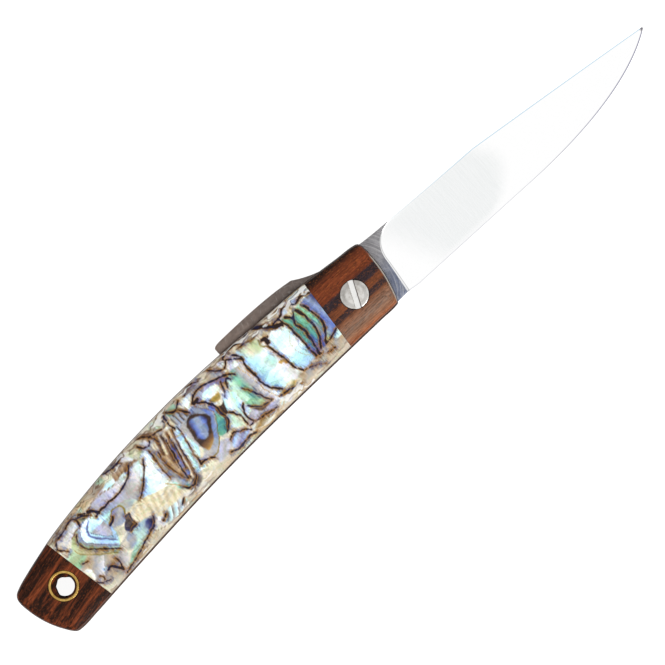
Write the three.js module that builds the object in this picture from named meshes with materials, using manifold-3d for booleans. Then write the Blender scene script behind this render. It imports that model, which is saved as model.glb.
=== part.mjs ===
// A friction folder: a pocket knife whose blade is held open by a thumb lever on its tang.
// Millimetres. The knife lies on its rear side, open. +X points to the blade's tip, +Y to the handle's back,
// +Z up through the front side. The origin is on the pivot's axis, on the plane that the knife rests on.

import * as THREE from "three";
import { mergeVertices } from "three/addons/utils/BufferGeometryUtils.js";
import Module from "manifold-3d";

// Layers, from the middle of the knife outwards
const BLADE_THICKNESS = 3.0;
const RUNNING_GAP = 0.1; // between the tang and each washer
const WASHER_THICKNESS = 0.4;
const BASE_THICKNESS = 1.8; // dark hardwood under the covers
const COVER_THICKNESS = 2.7; // bolsters and shell, at the flat land

const TANG_RADIUS = 7.12; // the handle and the lever are drawn round the tang

// Handle outline, from the front to the butt. A front point is its x, and how far past the tang's radius it
// lies. A butt point is its distance from the butt, and its y.
const BUTT_BLOCK = 12.8; // handle behind the closed blade's tip
const SLOT_EDGE_FRONT = [[9.5, 0.5], [2, 0.44], [-28, 0.18], [-48, 0.54]];
const SLOT_EDGE_BUTT = [[24.8, -8.72], [12.8, -9.56], [6.8, -9.92], [2.6, -9.85]];
const BACK_EDGE_FRONT = [[10, -0.27], [4, 0.5], [-7.2, 1.88], [-17, 2.5], [-30, 3.4], [-44, 3.66]];
const BACK_EDGE_BUTT = [[32.8, 10.08], [16.8, 8.3], [8.8, 6.7], [4.8, 5.7], [-1, 3.9]];
const FRONT_ARC_RADIUS = 26.4;
const FRONT_ARC_RISE = 4.3; // height of the arc's centre above the pivot
const FRONT_REACH = 8.0; // pivot to the front arc's furthest point
const FRONT_ARC_SPAN = { middle: -0.1, half: 0.55 }; // radians, long enough to cross both edges
const BUTT_ARC_RADIUS = 19.9;
const BUTT_ARC_RISE = 2.7;
const BUTT_ARC_SPAN = { middle: Math.PI + 0.2, half: 0.6 };
const CORNER_RADII = { slotFront: 0.8, backFront: 1.3, backButt: 2.4, slotButt: 1.9 };
const LEAST_CORNER_RADIUS = 0.2;

// Handle section
const BASE_LEAN = { slot: 0.35, front: 0.12, back: 0.12, butt: 0.12 }; // the base narrows outwards
const FLANK_LEAN = 0.1;
const EDGE_RADIUS = 1.0;
const CROWN_ANGLE = 20; // degrees, where the edge rounding meets the crown
const LAND_INSET = 4.1; // from the outline to the flat land

// Joints between bolsters and shell, each as [x on the back edge, x on the slot edge]
const FRONT_JOINT = [-5.8, -7.65];
const BUTT_JOINT = [12.3, 14.8]; // measured from the butt
const GLUE_LINE = 0.04;

// Blade
const BLADE_REACH = 80; // pivot to tip
const TIP_DROP = 2.0;
const TIP_FLAT = 0.16;
const HEEL = [8.15, -7.2]; // where the ground edge starts
const EDGE_START = [11, -7.67];
const BELLY_START = [40, -8.7];
const BELLY_PULL = [[14, -0.7], [-9.5, -6.4]]; // belly's handles, from its start and from the tip
const SPINE_START = [8.2, 6.6];
const SPINE_SAG = [16, 5.75];
const SPINE_BEND = [38, 4.53]; // the spine drops towards the tip from here
const SPINE_DROP_SAG = [62, 1.0];
const PLUNGE_MIDDLE = [9.5, 0];
const PLUNGE_PULL = [[9.9, 3.4], [11.6, 5.5]];
const PLUNGE_TOP = 15.65;
const EDGE_BEVEL = 0.6; // height of the fine bevel along the edge
const EDGE_BEVEL_HALF = 0.2; // half thickness where that bevel starts
const EDGE_HALF = 0.03;
const TIP_HALF = 0.16;
const TAPER_POWER = 1.6; // the spine keeps its thickness near the handle and thins faster near the tip
const SWEDGE = 0.45; // bevel on the spine in front of the bend
const SWEDGE_START = 0.02;
const SWEDGE_THINNING = 0.55; // share of the spine's thickness that the swedge takes at the tip
const TIP_SHARES = { bevelHalf: 0.8, bevel: 0.4, swedge: 0.3 }; // where the tip leaves the bevels less room

// Thumb lever, each point as its x and its rise past the tang's radius
const LEVER_ROOT = [-2.3, 1.43];
const LEVER_RAMP = [-4.8, 2.33];
const LEVER_CORNER = [-7.22, 3.92];
const LEVER_CROWN = [-13, 5.23];
const LEVER_END = [-26.5, 5.26];
const LEVER_REACH = 28.2;
const LEVER_NOSE_DROP = 0.75;
const LEVER_HEEL_RISE = 2.68; // underside at the nose, inside the slot

// Pivot
const CLOSED_ANGLE = 176;
const PIVOT_BARREL_RADIUS = 2.5;
const PIVOT_SHANK_RADIUS = 1.45;
const PIVOT_FIT = 0.08; // radial clearance on the barrel and on the shank
const PIVOT_HEAD_RADIUS = 3.0;
const PIVOT_HEAD_THICKNESS = 1.3;
const PIVOT_HEAD_FIT = 0.15;
const PIVOT_HEAD_DOME = 0.35;
const PIVOT_HEAD_BREAK = 0.08; // broken edge round the dome
const PIVOT_HEAD_SINK = 0.15; // rim below the land
const SCREW_SLOT_WIDTH = 1.15;
const SCREW_SLOT_DEPTH = 0.75;
const SCREW_SLOT_ANGLE = 62.9;
const NUT_FACE = 1.5; // metal left behind the nut's blind hole
const SHANK_END_GAP = 0.4;
const WASHER_RADIUS = 6.8;

// Stop pin, spacer and its pins
const STOP_PIN_RADIUS = 0.7;
const STOP_HEEL_INSET = 0.12; // from the tang's radius back to the place on the heel that meets the stop pin
const STOP_GAP = 0.3;
const PIN_FIT = 0.05;
const SPACER_PIN_RADIUS = 0.8;
const SPACER_NOSE_GAP = 1.0; // between the lever's nose and the spacer
const EDGE_CLEARANCE = 0.6; // between the closed blade and the spacer
const SPACER_PINS = { a: -40, b: -68 };

// Lanyard hole
const LANYARD_FROM_BUTT = 8.95;
const LANYARD_Y = -1.15;
const LANYARD_BORE_RADIUS = 2.2;
const EYELET_OUTER_RADIUS = 3.175;
const EYELET_INNER_RADIUS = 2.55;
const EYELET_DEPTH = 1.6;
const EYELET_CHAMFER = 0.12;

// Fineness
const ROUND_SEGMENTS = 32;
const PIN_SEGMENTS = 16;
const SIDE_SAMPLES = 240;
const SIDE_POINTS = { slot: 22, front: 5, back: 24, butt: 7 };
const CORNER_POINTS = 4;
const BLADE_STATIONS = 36;

const CLEAR = 5; // how far cutting bodies reach past what they cut
const FAR = 150;

// Places that follow from the sizes
const gapHalf = BLADE_THICKNESS / 2 + RUNNING_GAP + WASHER_THICKNESS;
const baseOuter = gapHalf + BASE_THICKNESS;
const landHeight = baseOuter + COVER_THICKNESS;
const buttX = -(BLADE_REACH + BUTT_BLOCK);
const slotEndX = -(BLADE_REACH + EDGE_CLEARANCE);
const lanyard = new THREE.Vector2(buttX + LANYARD_FROM_BUTT, LANYARD_Y);
const tip = new THREE.Vector2(BLADE_REACH, -TIP_DROP);

const wasm = await Module();
wasm.setup();

const vec = ([x, y]) => new THREE.Vector2(x, y);
const aboveTang = ([x, rise]) => new THREE.Vector2(x, TANG_RADIUS + rise);
const belowTang = ([x, drop]) => new THREE.Vector2(x, -TANG_RADIUS - drop);

// The point of a list, or of a curve, that lies nearest to an x
const nearestTo = (x, points) =>
  points.reduce((best, p) => (Math.abs(p.x - x) < Math.abs(best.x - x) ? p : best));
const onCurve = (x, curve) => nearestTo(x, curve.getPoints(SIDE_SAMPLES));

// The place of a blade point once the blade is closed
function closed(point) {
  return point.clone().rotateAround(new THREE.Vector2(), -THREE.MathUtils.degToRad(CLOSED_ANGLE));
}

// A geometry as a solid that can be joined and cut
function solid(geometry) {
  const bare = geometry.clone();
  bare.deleteAttribute("normal");
  bare.deleteAttribute("uv");
  const merged = mergeVertices(bare, 1e-4);
  return new wasm.Manifold(new wasm.Mesh({
    numProp: 3,
    vertProperties: new Float32Array(merged.attributes.position.array),
    triVerts: new Uint32Array(merged.index.array),
  }));
}

// A solid as a geometry again
function geometryOf(body) {
  const { numProp, vertProperties, triVerts } = body.getMesh();
  const points = new Float32Array((vertProperties.length / numProp) * 3);
  for (let i = 0; i * numProp < vertProperties.length; i++) {
    points.set(vertProperties.subarray(i * numProp, i * numProp + 3), i * 3);
  }
  const geometry = new THREE.BufferGeometry();
  geometry.setAttribute("position", new THREE.BufferAttribute(points, 3));
  geometry.setIndex(new THREE.BufferAttribute(new Uint32Array(triVerts), 1));
  geometry.computeVertexNormals();
  return geometry;
}

// The same piece on the other side of the knife's middle plane
function mirrored(geometry) {
  const copy = geometry.clone();
  copy.scale(1, 1, -1);
  const index = copy.index.array;
  for (let i = 0; i < index.length; i += 3) {
    [index[i + 1], index[i + 2]] = [index[i + 2], index[i + 1]];
  }
  copy.computeVertexNormals();
  return copy;
}

// A flat outline given thickness between two heights
function slab(shape, low, high, curveSegments = 12) {
  const options = { depth: high - low, bevelEnabled: false, curveSegments };
  return solid(new THREE.ExtrudeGeometry(shape, options).translate(0, 0, low));
}

// A round bar or hole along Z
function round(radius, low, high, at = new THREE.Vector2(), segments = ROUND_SEGMENTS) {
  const geometry = new THREE.CylinderGeometry(radius, radius, high - low, segments);
  geometry.rotateX(Math.PI / 2);
  return solid(geometry.translate(at.x, at.y, (low + high) / 2));
}

// A profile of [radius, height] pairs turned about Z
function turned(profile, at = new THREE.Vector2()) {
  const geometry = new THREE.LatheGeometry(profile.map(vec), ROUND_SEGMENTS);
  geometry.rotateX(Math.PI / 2);
  return solid(geometry.translate(at.x, at.y, 0));
}

// Everything on the left of the line from one point to another, after moving the line to its left
function leftOf(from, to, shift = 0) {
  const along = to.clone().sub(from).normalize();
  const geometry = new THREE.BoxGeometry(2 * FAR, FAR, FAR);
  geometry.translate(0, FAR / 2 + shift, 0);
  geometry.rotateZ(along.angle());
  return solid(geometry.translate(from.x, from.y, 0));
}

// Rings of equal point count joined into one closed body, whose end caps are laid out flat by a function
function loft(rings, flatten = (p) => new THREE.Vector2(p.x, p.y)) {
  const count = rings[0].length;
  const position = rings.flat().flatMap((p) => [p.x, p.y, p.z]);
  const index = [];
  for (let r = 0; r + 1 < rings.length; r++) {
    for (let i = 0; i < count; i++) {
      const next = (i + 1) % count;
      const [a, b] = [r * count + i, r * count + next];
      index.push(a, b, b + count, a, b + count, a + count);
    }
  }
  const last = (rings.length - 1) * count;
  const cap = (ring) => THREE.ShapeUtils.triangulateShape(ring.map(flatten), []);
  cap(rings[0]).forEach(([a, b, c]) => index.push(c, b, a));
  cap(rings.at(-1)).forEach(([a, b, c]) => index.push(last + a, last + b, last + c));
  const geometry = new THREE.BufferGeometry();
  geometry.setAttribute("position", new THREE.Float32BufferAttribute(position, 3));
  geometry.setIndex(index);
  return solid(geometry);
}

// The handle's four sides, run counter-clockwise, so that the inside is on the left
const fromButt = ([x, y]) => new THREE.Vector2(buttX + x, y);
const slotPoints = [...SLOT_EDGE_FRONT.map(belowTang), ...SLOT_EDGE_BUTT.map(fromButt)];
const slotSide = new THREE.SplineCurve(slotPoints.reverse());
const backSide = new THREE.SplineCurve([...BACK_EDGE_FRONT.map(aboveTang), ...BACK_EDGE_BUTT.map(fromButt)]);
const arcSide = (x, y, radius, { middle, half }) =>
  new THREE.EllipseCurve(x, y, radius, radius, middle - half, middle + half, false);
const frontSide = arcSide(FRONT_REACH - FRONT_ARC_RADIUS, FRONT_ARC_RISE, FRONT_ARC_RADIUS, FRONT_ARC_SPAN);
const buttSide = arcSide(buttX + BUTT_ARC_RADIUS, BUTT_ARC_RISE, BUTT_ARC_RADIUS, BUTT_ARC_SPAN);
const SIDES = ["slot", "front", "back", "butt"];
const sideCurves = { slot: slotSide, front: frontSide, back: backSide, butt: buttSide };
const cornerAfter = { slot: "slotFront", front: "backFront", back: "backButt", butt: "slotButt" };

// One side moved inwards, as a fine polyline
function insetSide(name, inset) {
  return Array.from({ length: SIDE_SAMPLES + 1 }, (_, i) => {
    const t = i / SIDE_SAMPLES;
    const tangent = sideCurves[name].getTangent(t);
    return sideCurves[name].getPoint(t).add(new THREE.Vector2(-tangent.y, tangent.x).multiplyScalar(inset));
  });
}

// Where one polyline first crosses another: the places along both, and the point
function crossing(first, second) {
  for (let i = 0; i + 1 < first.length; i++) {
    for (let j = 0; j + 1 < second.length; j++) {
      const u = first[i + 1].clone().sub(first[i]);
      const v = second[j + 1].clone().sub(second[j]);
      const w = second[j].clone().sub(first[i]);
      const turn = u.cross(v);
      const s = w.cross(v) / turn;
      const t = w.cross(u) / turn;
      if (s >= 0 && s <= 1 && t >= 0 && t <= 1) {
        return { onFirst: i + s, onSecond: j + t, point: first[i].clone().addScaledVector(u, s) };
      }
    }
  }
  throw new Error("two sides of the handle don't meet");
}

// Points spread evenly along a polyline between two places on it, after a retreat from both ends
function spread(line, from, to, retreatStart, retreatEnd, count) {
  const at = (place) => line[Math.floor(place)].clone().lerp(
    line[Math.min(Math.floor(place) + 1, line.length - 1)], place % 1);
  const inner = line.slice(Math.ceil(from), Math.floor(to) + 1);
  const run = [at(from), ...inner, at(to)];
  const lengths = [0];
  for (let i = 1; i < run.length; i++) lengths.push(lengths.at(-1) + run[i].distanceTo(run[i - 1]));
  const [start, end] = [retreatStart, lengths.at(-1) - retreatEnd];
  return Array.from({ length: count }, (_, k) => {
    const goal = start + ((end - start) * k) / (count - 1);
    let i = 1;
    while (i < lengths.length - 1 && lengths[i] < goal) i++;
    const part = (goal - lengths[i - 1]) / Math.max(lengths[i] - lengths[i - 1], 1e-9);
    return run[i - 1].clone().lerp(run[i], part);
  });
}

// The handle's outline with each side moved inwards by its own inset, and its corners rounded
function handleOutline(insets) {
  const lines = SIDES.map((name) => insetSide(name, insets[name]));
  const corners = SIDES.map((name, i) => {
    const meet = crossing(lines[i], lines[(i + 1) % 4]);
    const inset = Math.max(insets[name], insets[SIDES[(i + 1) % 4]]);
    const radius = Math.max(CORNER_RADII[cornerAfter[name]] - inset, LEAST_CORNER_RADIUS);
    const before = lines[i][Math.floor(meet.onFirst)];
    const after = lines[(i + 1) % 4][Math.ceil(meet.onSecond)];
    const into = meet.point.clone().sub(before).normalize();
    const outOf = after.clone().sub(meet.point).normalize();
    const turn = Math.acos(THREE.MathUtils.clamp(into.dot(outOf), -1, 1));
    return { ...meet, retreat: radius * Math.tan(turn / 2) };
  });
  const runs = SIDES.map((name, i) => {
    const last = corners[(i + 3) % 4];
    return spread(lines[i], last.onSecond, corners[i].onFirst, last.retreat, corners[i].retreat,
      SIDE_POINTS[name]);
  });
  return runs.flatMap((run, i) => {
    const bend = new THREE.QuadraticBezierCurve(run.at(-1), corners[i].point, runs[(i + 1) % 4][0]);
    return [...run, ...bend.getPoints(CORNER_POINTS).slice(1, -1)];
  });
}

const evenInset = (inset) => Object.fromEntries(SIDES.map((name) => [name, inset]));
const ringAt = (insets, z) => handleOutline(insets).map((p) => new THREE.Vector3(p.x, p.y, z));
const leaned = (more) => Object.fromEntries(SIDES.map((name) => [name, BASE_LEAN[name] + more]));

// The cover's section, as [inset from the base, height] pairs: flank, rounded edge and crown
function coverSection() {
  const end = THREE.MathUtils.degToRad(90 - CROWN_ANGLE);
  const crownStart = FLANK_LEAN + EDGE_RADIUS * (1 - Math.cos(end));
  const crownWidth = LAND_INSET - crownStart;
  const crownSlope = Math.tan(THREE.MathUtils.degToRad(CROWN_ANGLE));
  const crownDrop = (crownSlope * crownWidth) / 2;
  const arcBase = landHeight - crownDrop - EDGE_RADIUS * Math.sin(end);
  const edge = [0, 0.25, 0.5, 0.75, 1].map((part) => [
    FLANK_LEAN + EDGE_RADIUS * (1 - Math.cos(part * end)),
    arcBase + EDGE_RADIUS * Math.sin(part * end),
  ]);
  const crown = [0.33, 0.66, 1].map((part) => [
    crownStart + part * crownWidth,
    landHeight - crownDrop * (1 - part) ** 2,
  ]);
  return [[0, baseOuter], ...edge, ...crown];
}

// One whole side's cover, before it is cut into bolsters and shell
function coverBody() {
  return loft(coverSection().map(([inset, z]) => ringAt(leaned(inset), z)));
}

// The thin base layer with its holes
function baseBody() {
  const body = loft([ringAt(evenInset(0), gapHalf), ringAt(leaned(0), baseOuter)]);
  return [
    round(PIVOT_BARREL_RADIUS + PIVOT_FIT, 0, landHeight),
    round(LANYARD_BORE_RADIUS, 0, landHeight, lanyard),
    pinHole(STOP_PIN_RADIUS, stopPinAt()),
    ...spacerPins.map((pin) => pinHole(SPACER_PIN_RADIUS, pin.at)),
  ].reduce((left, cut) => left.subtract(cut), body);
}

// The sides where the covers are cut, each running from the slot edge to the back edge
function jointLine([backX, slotX], originX = 0) {
  return { low: onCurve(originX + slotX, slotSide), high: onCurve(originX + backX, backSide) };
}

function frontBolsterBody(cover) {
  const joint = jointLine(FRONT_JOINT);
  const seat = landHeight - PIVOT_HEAD_SINK - PIVOT_HEAD_THICKNESS;
  return cover
    .subtract(leftOf(joint.low, joint.high, -GLUE_LINE / 2))
    .subtract(round(PIVOT_BARREL_RADIUS + PIVOT_FIT, gapHalf, landHeight))
    .subtract(round(PIVOT_HEAD_RADIUS + PIVOT_HEAD_FIT, seat, landHeight + CLEAR));
}

function shellPanelBody(cover) {
  const front = jointLine(FRONT_JOINT);
  const butt = jointLine(BUTT_JOINT, buttX);
  return cover
    .intersect(leftOf(front.low, front.high, GLUE_LINE / 2))
    .intersect(leftOf(butt.high, butt.low, GLUE_LINE / 2));
}

function buttBolsterBody(cover) {
  const joint = jointLine(BUTT_JOINT, buttX);
  return cover
    .subtract(leftOf(joint.high, joint.low, -GLUE_LINE / 2))
    .subtract(round(LANYARD_BORE_RADIUS, gapHalf, landHeight, lanyard))
    .subtract(round(EYELET_OUTER_RADIUS + PIN_FIT, landHeight - EYELET_DEPTH, landHeight + CLEAR, lanyard));
}

// A ring with its rims chamfered
function eyeletBody() {
  const low = landHeight - EYELET_DEPTH;
  const [inner, outer, cut] = [EYELET_INNER_RADIUS, EYELET_OUTER_RADIUS, EYELET_CHAMFER];
  return turned([
    [inner, low],
    [outer, low],
    [outer, landHeight - cut / 2],
    [outer - cut / 2, landHeight],
    [inner + cut, landHeight],
    [inner, landHeight - cut],
    [inner, low],
  ], lanyard);
}

// The blade's edge and spine, both run from the handle to the tip
function edgePath() {
  const path = new THREE.CurvePath();
  const start = vec(BELLY_START);
  const end = tip.clone().add(new THREE.Vector2(0, -TIP_FLAT / 2));
  path.add(new THREE.LineCurve(vec(HEEL), vec(EDGE_START)));
  path.add(new THREE.LineCurve(vec(EDGE_START), start));
  path.add(new THREE.CubicBezierCurve(
    start, start.clone().add(vec(BELLY_PULL[0])), tip.clone().add(vec(BELLY_PULL[1])), end));
  return path;
}

function spinePath() {
  const path = new THREE.CurvePath();
  const end = tip.clone().add(new THREE.Vector2(0, TIP_FLAT / 2));
  path.add(new THREE.QuadraticBezierCurve(vec(SPINE_START), vec(SPINE_SAG), vec(SPINE_BEND)));
  path.add(new THREE.QuadraticBezierCurve(vec(SPINE_BEND), vec(SPINE_DROP_SAG), end));
  return path;
}

// The ground part of the blade: a wedge from spine to edge, with the fine edge bevel and the swedge
function groundBody() {
  const [edge, spine] = [edgePath(), spinePath()];
  const rings = Array.from({ length: BLADE_STATIONS + 1 }, (_, i) => {
    const u = i / BLADE_STATIONS;
    const [low, high] = [edge.getPointAt(u), spine.getPointAt(u)];
    const height = high.distanceTo(low);
    const spineHalf = THREE.MathUtils.lerp(BLADE_THICKNESS / 2, TIP_HALF, u ** TAPER_POWER);
    const bevelHalf = Math.min(EDGE_BEVEL_HALF, spineHalf * TIP_SHARES.bevelHalf);
    const bevel = Math.min(EDGE_BEVEL, height * TIP_SHARES.bevel);
    const pastBend = THREE.MathUtils.clamp((high.x - SPINE_BEND[0]) / (BLADE_REACH - SPINE_BEND[0]), 0, 1);
    const swedge = Math.min(SWEDGE * Math.sqrt(pastBend) + SWEDGE_START, height * TIP_SHARES.swedge);
    const at = (fromEdge, half) => {
      const point = low.clone().lerp(high, fromEdge / height);
      return new THREE.Vector3(point.x, point.y, half);
    };
    const half = [
      at(height, spineHalf * (1 - SWEDGE_THINNING * Math.sqrt(pastBend))),
      at(height - swedge, spineHalf),
      at(bevel, bevelHalf),
      at(0, EDGE_HALF),
    ];
    return [...half, ...half.map((p) => new THREE.Vector3(p.x, p.y, -p.z)).reverse()];
  });
  return loft(rings, (p) => new THREE.Vector2(p.y, p.z));
}

const stopPinAt = () =>
  closed(vec([TANG_RADIUS - STOP_HEEL_INSET, -TANG_RADIUS])).add(vec([0, STOP_GAP + STOP_PIN_RADIUS]));

// Ricasso, tang and thumb lever, full thickness, as far as the plunge line
function tangShape() {
  const pin = stopPinAt();
  const reach = STOP_PIN_RADIUS + STOP_GAP;
  const tangX = pin.x + reach;
  const plungeTop = onCurve(PLUNGE_TOP, spinePath().curves[0]);
  const [root, ramp, corner, crown, end] =
    [LEVER_ROOT, LEVER_RAMP, LEVER_CORNER, LEVER_CROWN, LEVER_END].map(aboveTang);
  const shape = new THREE.Shape();
  shape.moveTo(0, -TANG_RADIUS);
  shape.lineTo(...HEEL);
  shape.lineTo(...PLUNGE_MIDDLE);
  shape.bezierCurveTo(...PLUNGE_PULL[0], ...PLUNGE_PULL[1], plungeTop.x, plungeTop.y);
  shape.lineTo(...SPINE_START);
  shape.lineTo(root.x, root.y);
  shape.quadraticCurveTo(ramp.x, ramp.y, corner.x, corner.y);
  shape.quadraticCurveTo(crown.x, crown.y, end.x, end.y);
  shape.quadraticCurveTo(-LEVER_REACH, end.y, -LEVER_REACH, end.y - LEVER_NOSE_DROP);
  shape.lineTo(-LEVER_REACH, TANG_RADIUS + LEVER_HEEL_RISE);
  shape.lineTo(pin.x, pin.y + reach);
  shape.absarc(pin.x, pin.y, reach, Math.PI / 2, 0, true);
  shape.absarc(0, 0, TANG_RADIUS, Math.acos(tangX / TANG_RADIUS), 1.5 * Math.PI, false);
  return shape;
}

function bladeBody() {
  return slab(tangShape(), -BLADE_THICKNESS / 2, BLADE_THICKNESS / 2)
    .add(groundBody())
    .subtract(round(PIVOT_BARREL_RADIUS + PIVOT_FIT, -landHeight, landHeight));
}

// The edge of the closed blade, which the spacer stays clear of
function closedEdge() {
  return edgePath().getSpacedPoints(BLADE_STATIONS).map(closed);
}

// A pin through the middle of the spacer's rim
function spacerPinAt(x) {
  const floor = nearestTo(x, closedEdge()).y + EDGE_CLEARANCE;
  return new THREE.Vector2(x, (onCurve(x, backSide).y + floor) / 2);
}

// The spacer fills the handle between the scales, outside the room of the closed blade and the lever
function spacerBody() {
  const noseX = -LEVER_REACH - SPACER_NOSE_GAP;
  const room = closedEdge().filter((p) => p.x > slotEndX && p.x < noseX)
    .map((p) => p.clone().add(new THREE.Vector2(0, EDGE_CLEARANCE)));
  const edgeHeight = room[0].y;
  const outline = new THREE.Shape([
    new THREE.Vector2(noseX, FAR),
    new THREE.Vector2(-FAR, FAR),
    new THREE.Vector2(-FAR, -FAR),
    new THREE.Vector2(slotEndX, -FAR),
    new THREE.Vector2(slotEndX, room.at(-1).y),
    ...room.reverse(),
    new THREE.Vector2(noseX, edgeHeight),
  ]);
  const handle = new THREE.Shape(handleOutline(evenInset(0)));
  const blank = slab(handle, -gapHalf, gapHalf)
    .intersect(slab(outline, -landHeight, landHeight))
    .subtract(round(LANYARD_BORE_RADIUS, -landHeight, landHeight, lanyard));
  return spacerPins.reduce((left, pin) => left.subtract(pinHole(SPACER_PIN_RADIUS, pin.at)), blank);
}

// Slotted screw: domed head in the front bolster, shank inside the nut's barrel
function screwBody() {
  const rim = landHeight - PIVOT_HEAD_SINK;
  const seat = rim - PIVOT_HEAD_THICKNESS;
  const end = -landHeight + NUT_FACE + SHANK_END_GAP;
  const dome = [0.97, 0.8, 0.6, 0.4, 0.2, 0].map((part) => [
    PIVOT_HEAD_RADIUS * part,
    rim + PIVOT_HEAD_DOME * (1 - part ** 2),
  ]);
  const slot = new THREE.BoxGeometry(2 * PIVOT_HEAD_RADIUS + CLEAR, SCREW_SLOT_WIDTH, CLEAR);
  slot.translate(0, 0, rim + PIVOT_HEAD_DOME - SCREW_SLOT_DEPTH + CLEAR / 2);
  slot.rotateZ(THREE.MathUtils.degToRad(SCREW_SLOT_ANGLE));
  return turned([
    [0, end],
    [PIVOT_SHANK_RADIUS, end],
    [PIVOT_SHANK_RADIUS, seat],
    [PIVOT_HEAD_RADIUS, seat],
    [PIVOT_HEAD_RADIUS, rim - PIVOT_HEAD_BREAK],
    ...dome,
  ]).subtract(solid(slot));
}

// Barrel nut: flat head in the rear bolster, barrel through both scales
function nutBody() {
  const seat = -landHeight + PIVOT_HEAD_SINK + PIVOT_HEAD_THICKNESS;
  const end = landHeight - PIVOT_HEAD_SINK - PIVOT_HEAD_THICKNESS;
  const bore = PIVOT_SHANK_RADIUS + PIVOT_FIT;
  return turned([
    [0, -landHeight],
    [PIVOT_HEAD_RADIUS, -landHeight],
    [PIVOT_HEAD_RADIUS, seat],
    [PIVOT_BARREL_RADIUS, seat],
    [PIVOT_BARREL_RADIUS, end],
    [bore, end],
    [bore, -landHeight + NUT_FACE],
    [0, -landHeight + NUT_FACE],
  ]);
}

function washerBody() {
  const low = BLADE_THICKNESS / 2 + RUNNING_GAP;
  return round(WASHER_RADIUS, low, low + WASHER_THICKNESS)
    .subtract(round(PIVOT_BARREL_RADIUS + PIVOT_FIT, 0, landHeight));
}

const pinBody = (radius, at) => round(radius, -baseOuter, baseOuter, at, PIN_SEGMENTS);
const pinHole = (radius, at) => round(radius + PIN_FIT, -landHeight, landHeight, at, PIN_SEGMENTS);
const spacerPins = Object.entries(SPACER_PINS).map(([name, x]) => ({ name, at: spacerPinAt(x) }));

const steel = (color, roughness) => new THREE.MeshStandardMaterial({ color, roughness, metalness: 1 });
const plain = (color, roughness) => new THREE.MeshStandardMaterial({ color, roughness, metalness: 0 });
const materials = {
  blade: () => steel(0xd9dcde, 0.18),
  pivot: () => steel(0xc9c8c4, 0.35),
  washer: () => steel(0xb58c5a, 0.45),
  pin: () => steel(0xb4b6b8, 0.4),
  brass: () => steel(0xc79a3c, 0.3),
  darkWood: () => plain(0x2c1a12, 0.5),
  redWood: () => plain(0x6d3319, 0.4),
  buttWood: () => plain(0x4e2413, 0.4),
  shell: () => plain(0x9fc4c0, 0.2),
};

const knife = new THREE.Group();
knife.position.z = landHeight; // the rear lands lie on the origin's plane
const handle = new THREE.Group();
const frontScale = new THREE.Group();
const rearScale = new THREE.Group();
handle.add(frontScale, rearScale);
knife.add(handle);

function place(group, name, geometry, material) {
  const mesh = new THREE.Mesh(geometry, material());
  mesh.name = name;
  group.add(mesh);
}

const cover = coverBody();
const sidePieces = [
  ["front_bolster", frontBolsterBody(cover), materials.redWood],
  ["shell_panel", shellPanelBody(cover), materials.shell],
  ["butt_bolster", buttBolsterBody(cover), materials.buttWood],
  ["base", baseBody(), materials.darkWood],
  ["washer", washerBody(), materials.washer],
  ["lanyard_eyelet", eyeletBody(), materials.brass],
];
for (const [name, body, material] of sidePieces) {
  const geometry = geometryOf(body);
  place(frontScale, `${name}_front`, geometry, material);
  place(rearScale, `${name}_rear`, mirrored(geometry), material);
}
place(handle, "back_spacer", geometryOf(spacerBody()), materials.darkWood);
place(handle, "stop_pin", geometryOf(pinBody(STOP_PIN_RADIUS, stopPinAt())), materials.pin);
for (const pin of spacerPins) {
  place(handle, `spacer_pin_${pin.name}`, geometryOf(pinBody(SPACER_PIN_RADIUS, pin.at)), materials.pin);
}
place(handle, "pivot_nut", geometryOf(nutBody()), materials.pivot);
place(handle, "pivot_screw", geometryOf(screwBody()), materials.pivot);
place(knife, "blade", geometryOf(bladeBody()), materials.blade);

export default knife;
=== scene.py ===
"""A friction folding pocket knife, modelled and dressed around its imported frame.

The knife lies open on its rear side, with +X towards the blade's tip, +Y towards the handle's back and +Z up
through the front side. Each sub-assembly is a class that holds its sizes and builds its own pieces. Shapes
are worked out in millimetres and become metres when a piece is finished.
"""

import logging
import math
from collections.abc import Callable, Iterable, Sequence
from dataclasses import dataclass
from enum import Enum

import bmesh
import bpy
import numpy as np
from mathutils import Matrix, Vector, noise


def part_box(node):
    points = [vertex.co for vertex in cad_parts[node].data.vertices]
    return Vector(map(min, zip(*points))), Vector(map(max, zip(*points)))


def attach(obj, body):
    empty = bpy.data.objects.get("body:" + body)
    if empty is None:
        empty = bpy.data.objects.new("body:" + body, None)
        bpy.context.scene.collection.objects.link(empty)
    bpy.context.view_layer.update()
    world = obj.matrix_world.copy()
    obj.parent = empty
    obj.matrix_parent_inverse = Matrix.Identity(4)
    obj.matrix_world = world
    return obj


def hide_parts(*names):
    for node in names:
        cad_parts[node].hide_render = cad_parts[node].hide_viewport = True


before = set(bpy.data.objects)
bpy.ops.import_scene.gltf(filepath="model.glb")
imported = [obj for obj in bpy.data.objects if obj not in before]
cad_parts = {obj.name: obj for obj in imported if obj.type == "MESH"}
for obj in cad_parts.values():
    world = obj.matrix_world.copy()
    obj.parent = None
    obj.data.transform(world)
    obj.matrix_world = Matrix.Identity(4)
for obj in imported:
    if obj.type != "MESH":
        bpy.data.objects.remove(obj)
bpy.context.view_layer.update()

log = logging.getLogger("knife")

MM = 0.001
BODY_HANDLE = "handle"
BODY_BLADE = "blade"

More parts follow.
